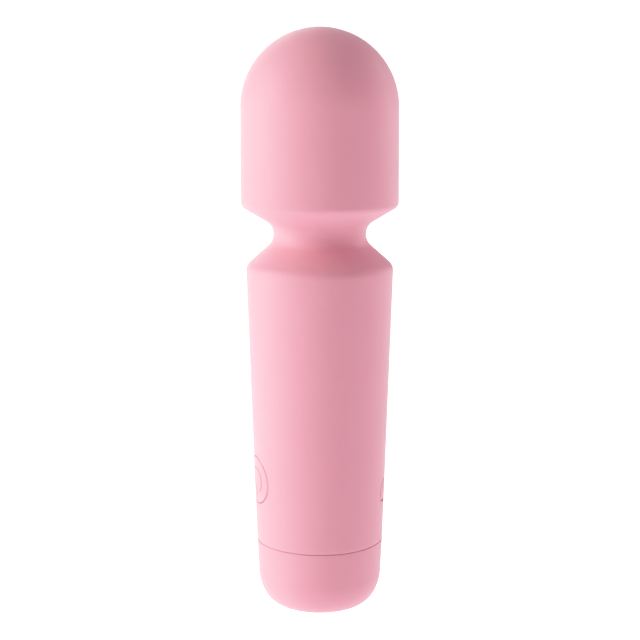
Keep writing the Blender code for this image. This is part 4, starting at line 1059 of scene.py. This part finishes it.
# ------------------------------------------------------------------ stage: pale floor, pale backdrop and soft studio light
def glow(name, colour, strength):
    made, _, shader = principled(name)
    shader.inputs["Base Color"].default_value = (*colour, 1.0)
    shader.inputs["Roughness"].default_value = 0.9
    shader.inputs["Specular IOR Level"].default_value = 0.0
    shader.inputs["Emission Color"].default_value = (1.0, 1.0, 1.0, 1.0)
    shader.inputs["Emission Strength"].default_value = strength
    return made


# The table lights the wand from below. What the camera sees of it, and of the backdrop, is overexposed white.
# Both lie just lower than the base cap goes when it is pulled off, so that they never hide it.
FLOOR_Z = -0.0085
table_mesh = bpy.data.meshes.new("table")
table_mesh.from_pydata([(-4, -4, 0), (4, -4, 0), (4, 4, 0), (-4, 4, 0)], [], [(0, 1, 2, 3)])
table = link("table", table_mesh, glow("table_look", (0.95, 0.95, 0.95), 0.68), 0)
table.location.z = FLOOR_Z - 0.0001
table.visible_camera = False
floor_mesh = bpy.data.meshes.new("floor")
floor_mesh.from_pydata([(-4, -4, 0), (4, -4, 0), (4, 4, 0), (-4, 4, 0)], [], [(0, 1, 2, 3)])
floor_look = glow("floor_look", (0.9, 0.9, 0.9), WHITE_AT)
floor = link("floor", floor_mesh, floor_look, 0)
floor.location.z = FLOOR_Z
backdrop_mesh = bpy.data.meshes.new("backdrop")
dome_shape = bmesh.new()
bmesh.ops.create_icosphere(dome_shape, subdivisions=4, radius=4.5)
bmesh.ops.reverse_faces(dome_shape, faces=dome_shape.faces)
dome_shape.to_mesh(backdrop_mesh)
dome_shape.free()
backdrop = link("backdrop", backdrop_mesh, glow("backdrop_look", (1.0, 1.0, 1.0), WHITE_AT), 0)
for sheet in (floor, backdrop):
    for way in ("diffuse", "glossy", "transmission", "volume_scatter", "shadow"):
        setattr(sheet, "visible_" + way, False)

world = bpy.data.worlds.new("studio")
bpy.context.scene.world = world
world.use_nodes = True
world.node_tree.nodes["Background"].inputs["Color"].default_value = (1.0, 0.96, 1.0, 1.0)
world.node_tree.nodes["Background"].inputs["Strength"].default_value = 0.29


def softbox(name, azimuth, elevation, distance, width, height, power, colour=(1.0, 1.0, 1.0)):
    """An area light aimed at the wand. Azimuth is measured from the camera's side, positive to the photograph's right."""
    data = bpy.data.lights.new(name, "AREA")
    data.shape = "RECTANGLE"
    data.size, data.size_y = width, height
    data.energy = power
    data.color = colour
    obj = bpy.data.objects.new(name, data)
    a = CAM_AZ + math.radians(azimuth)
    e = math.radians(elevation)
    way = Vector((math.sin(a) * math.cos(e), -math.cos(a) * math.cos(e), math.sin(e)))
    obj.location = Vector((0, 0, 0.056)) + way * distance
    obj.rotation_mode = "QUATERNION"
    obj.rotation_quaternion = (-way).to_track_quat("-Z", "Y")
    obj.visible_camera = False
    bpy.context.scene.collection.objects.link(obj)
    return obj


softbox("key_left", -80, 15, 1.0, 0.4, 0.8, 10.0, (1.0, 1.03, 0.91))
softbox("back_left", -105, 15, 1.0, 0.4, 0.8, 2.9)
softbox("rim_back", -165, 15, 1.0, 0.4, 0.8, 3.3)
softbox("rim_right", 120, 15, 1.0, 0.4, 0.8, 4.0)
softbox("top", 0, 85, 1.0, 0.9, 0.9, 2.3)
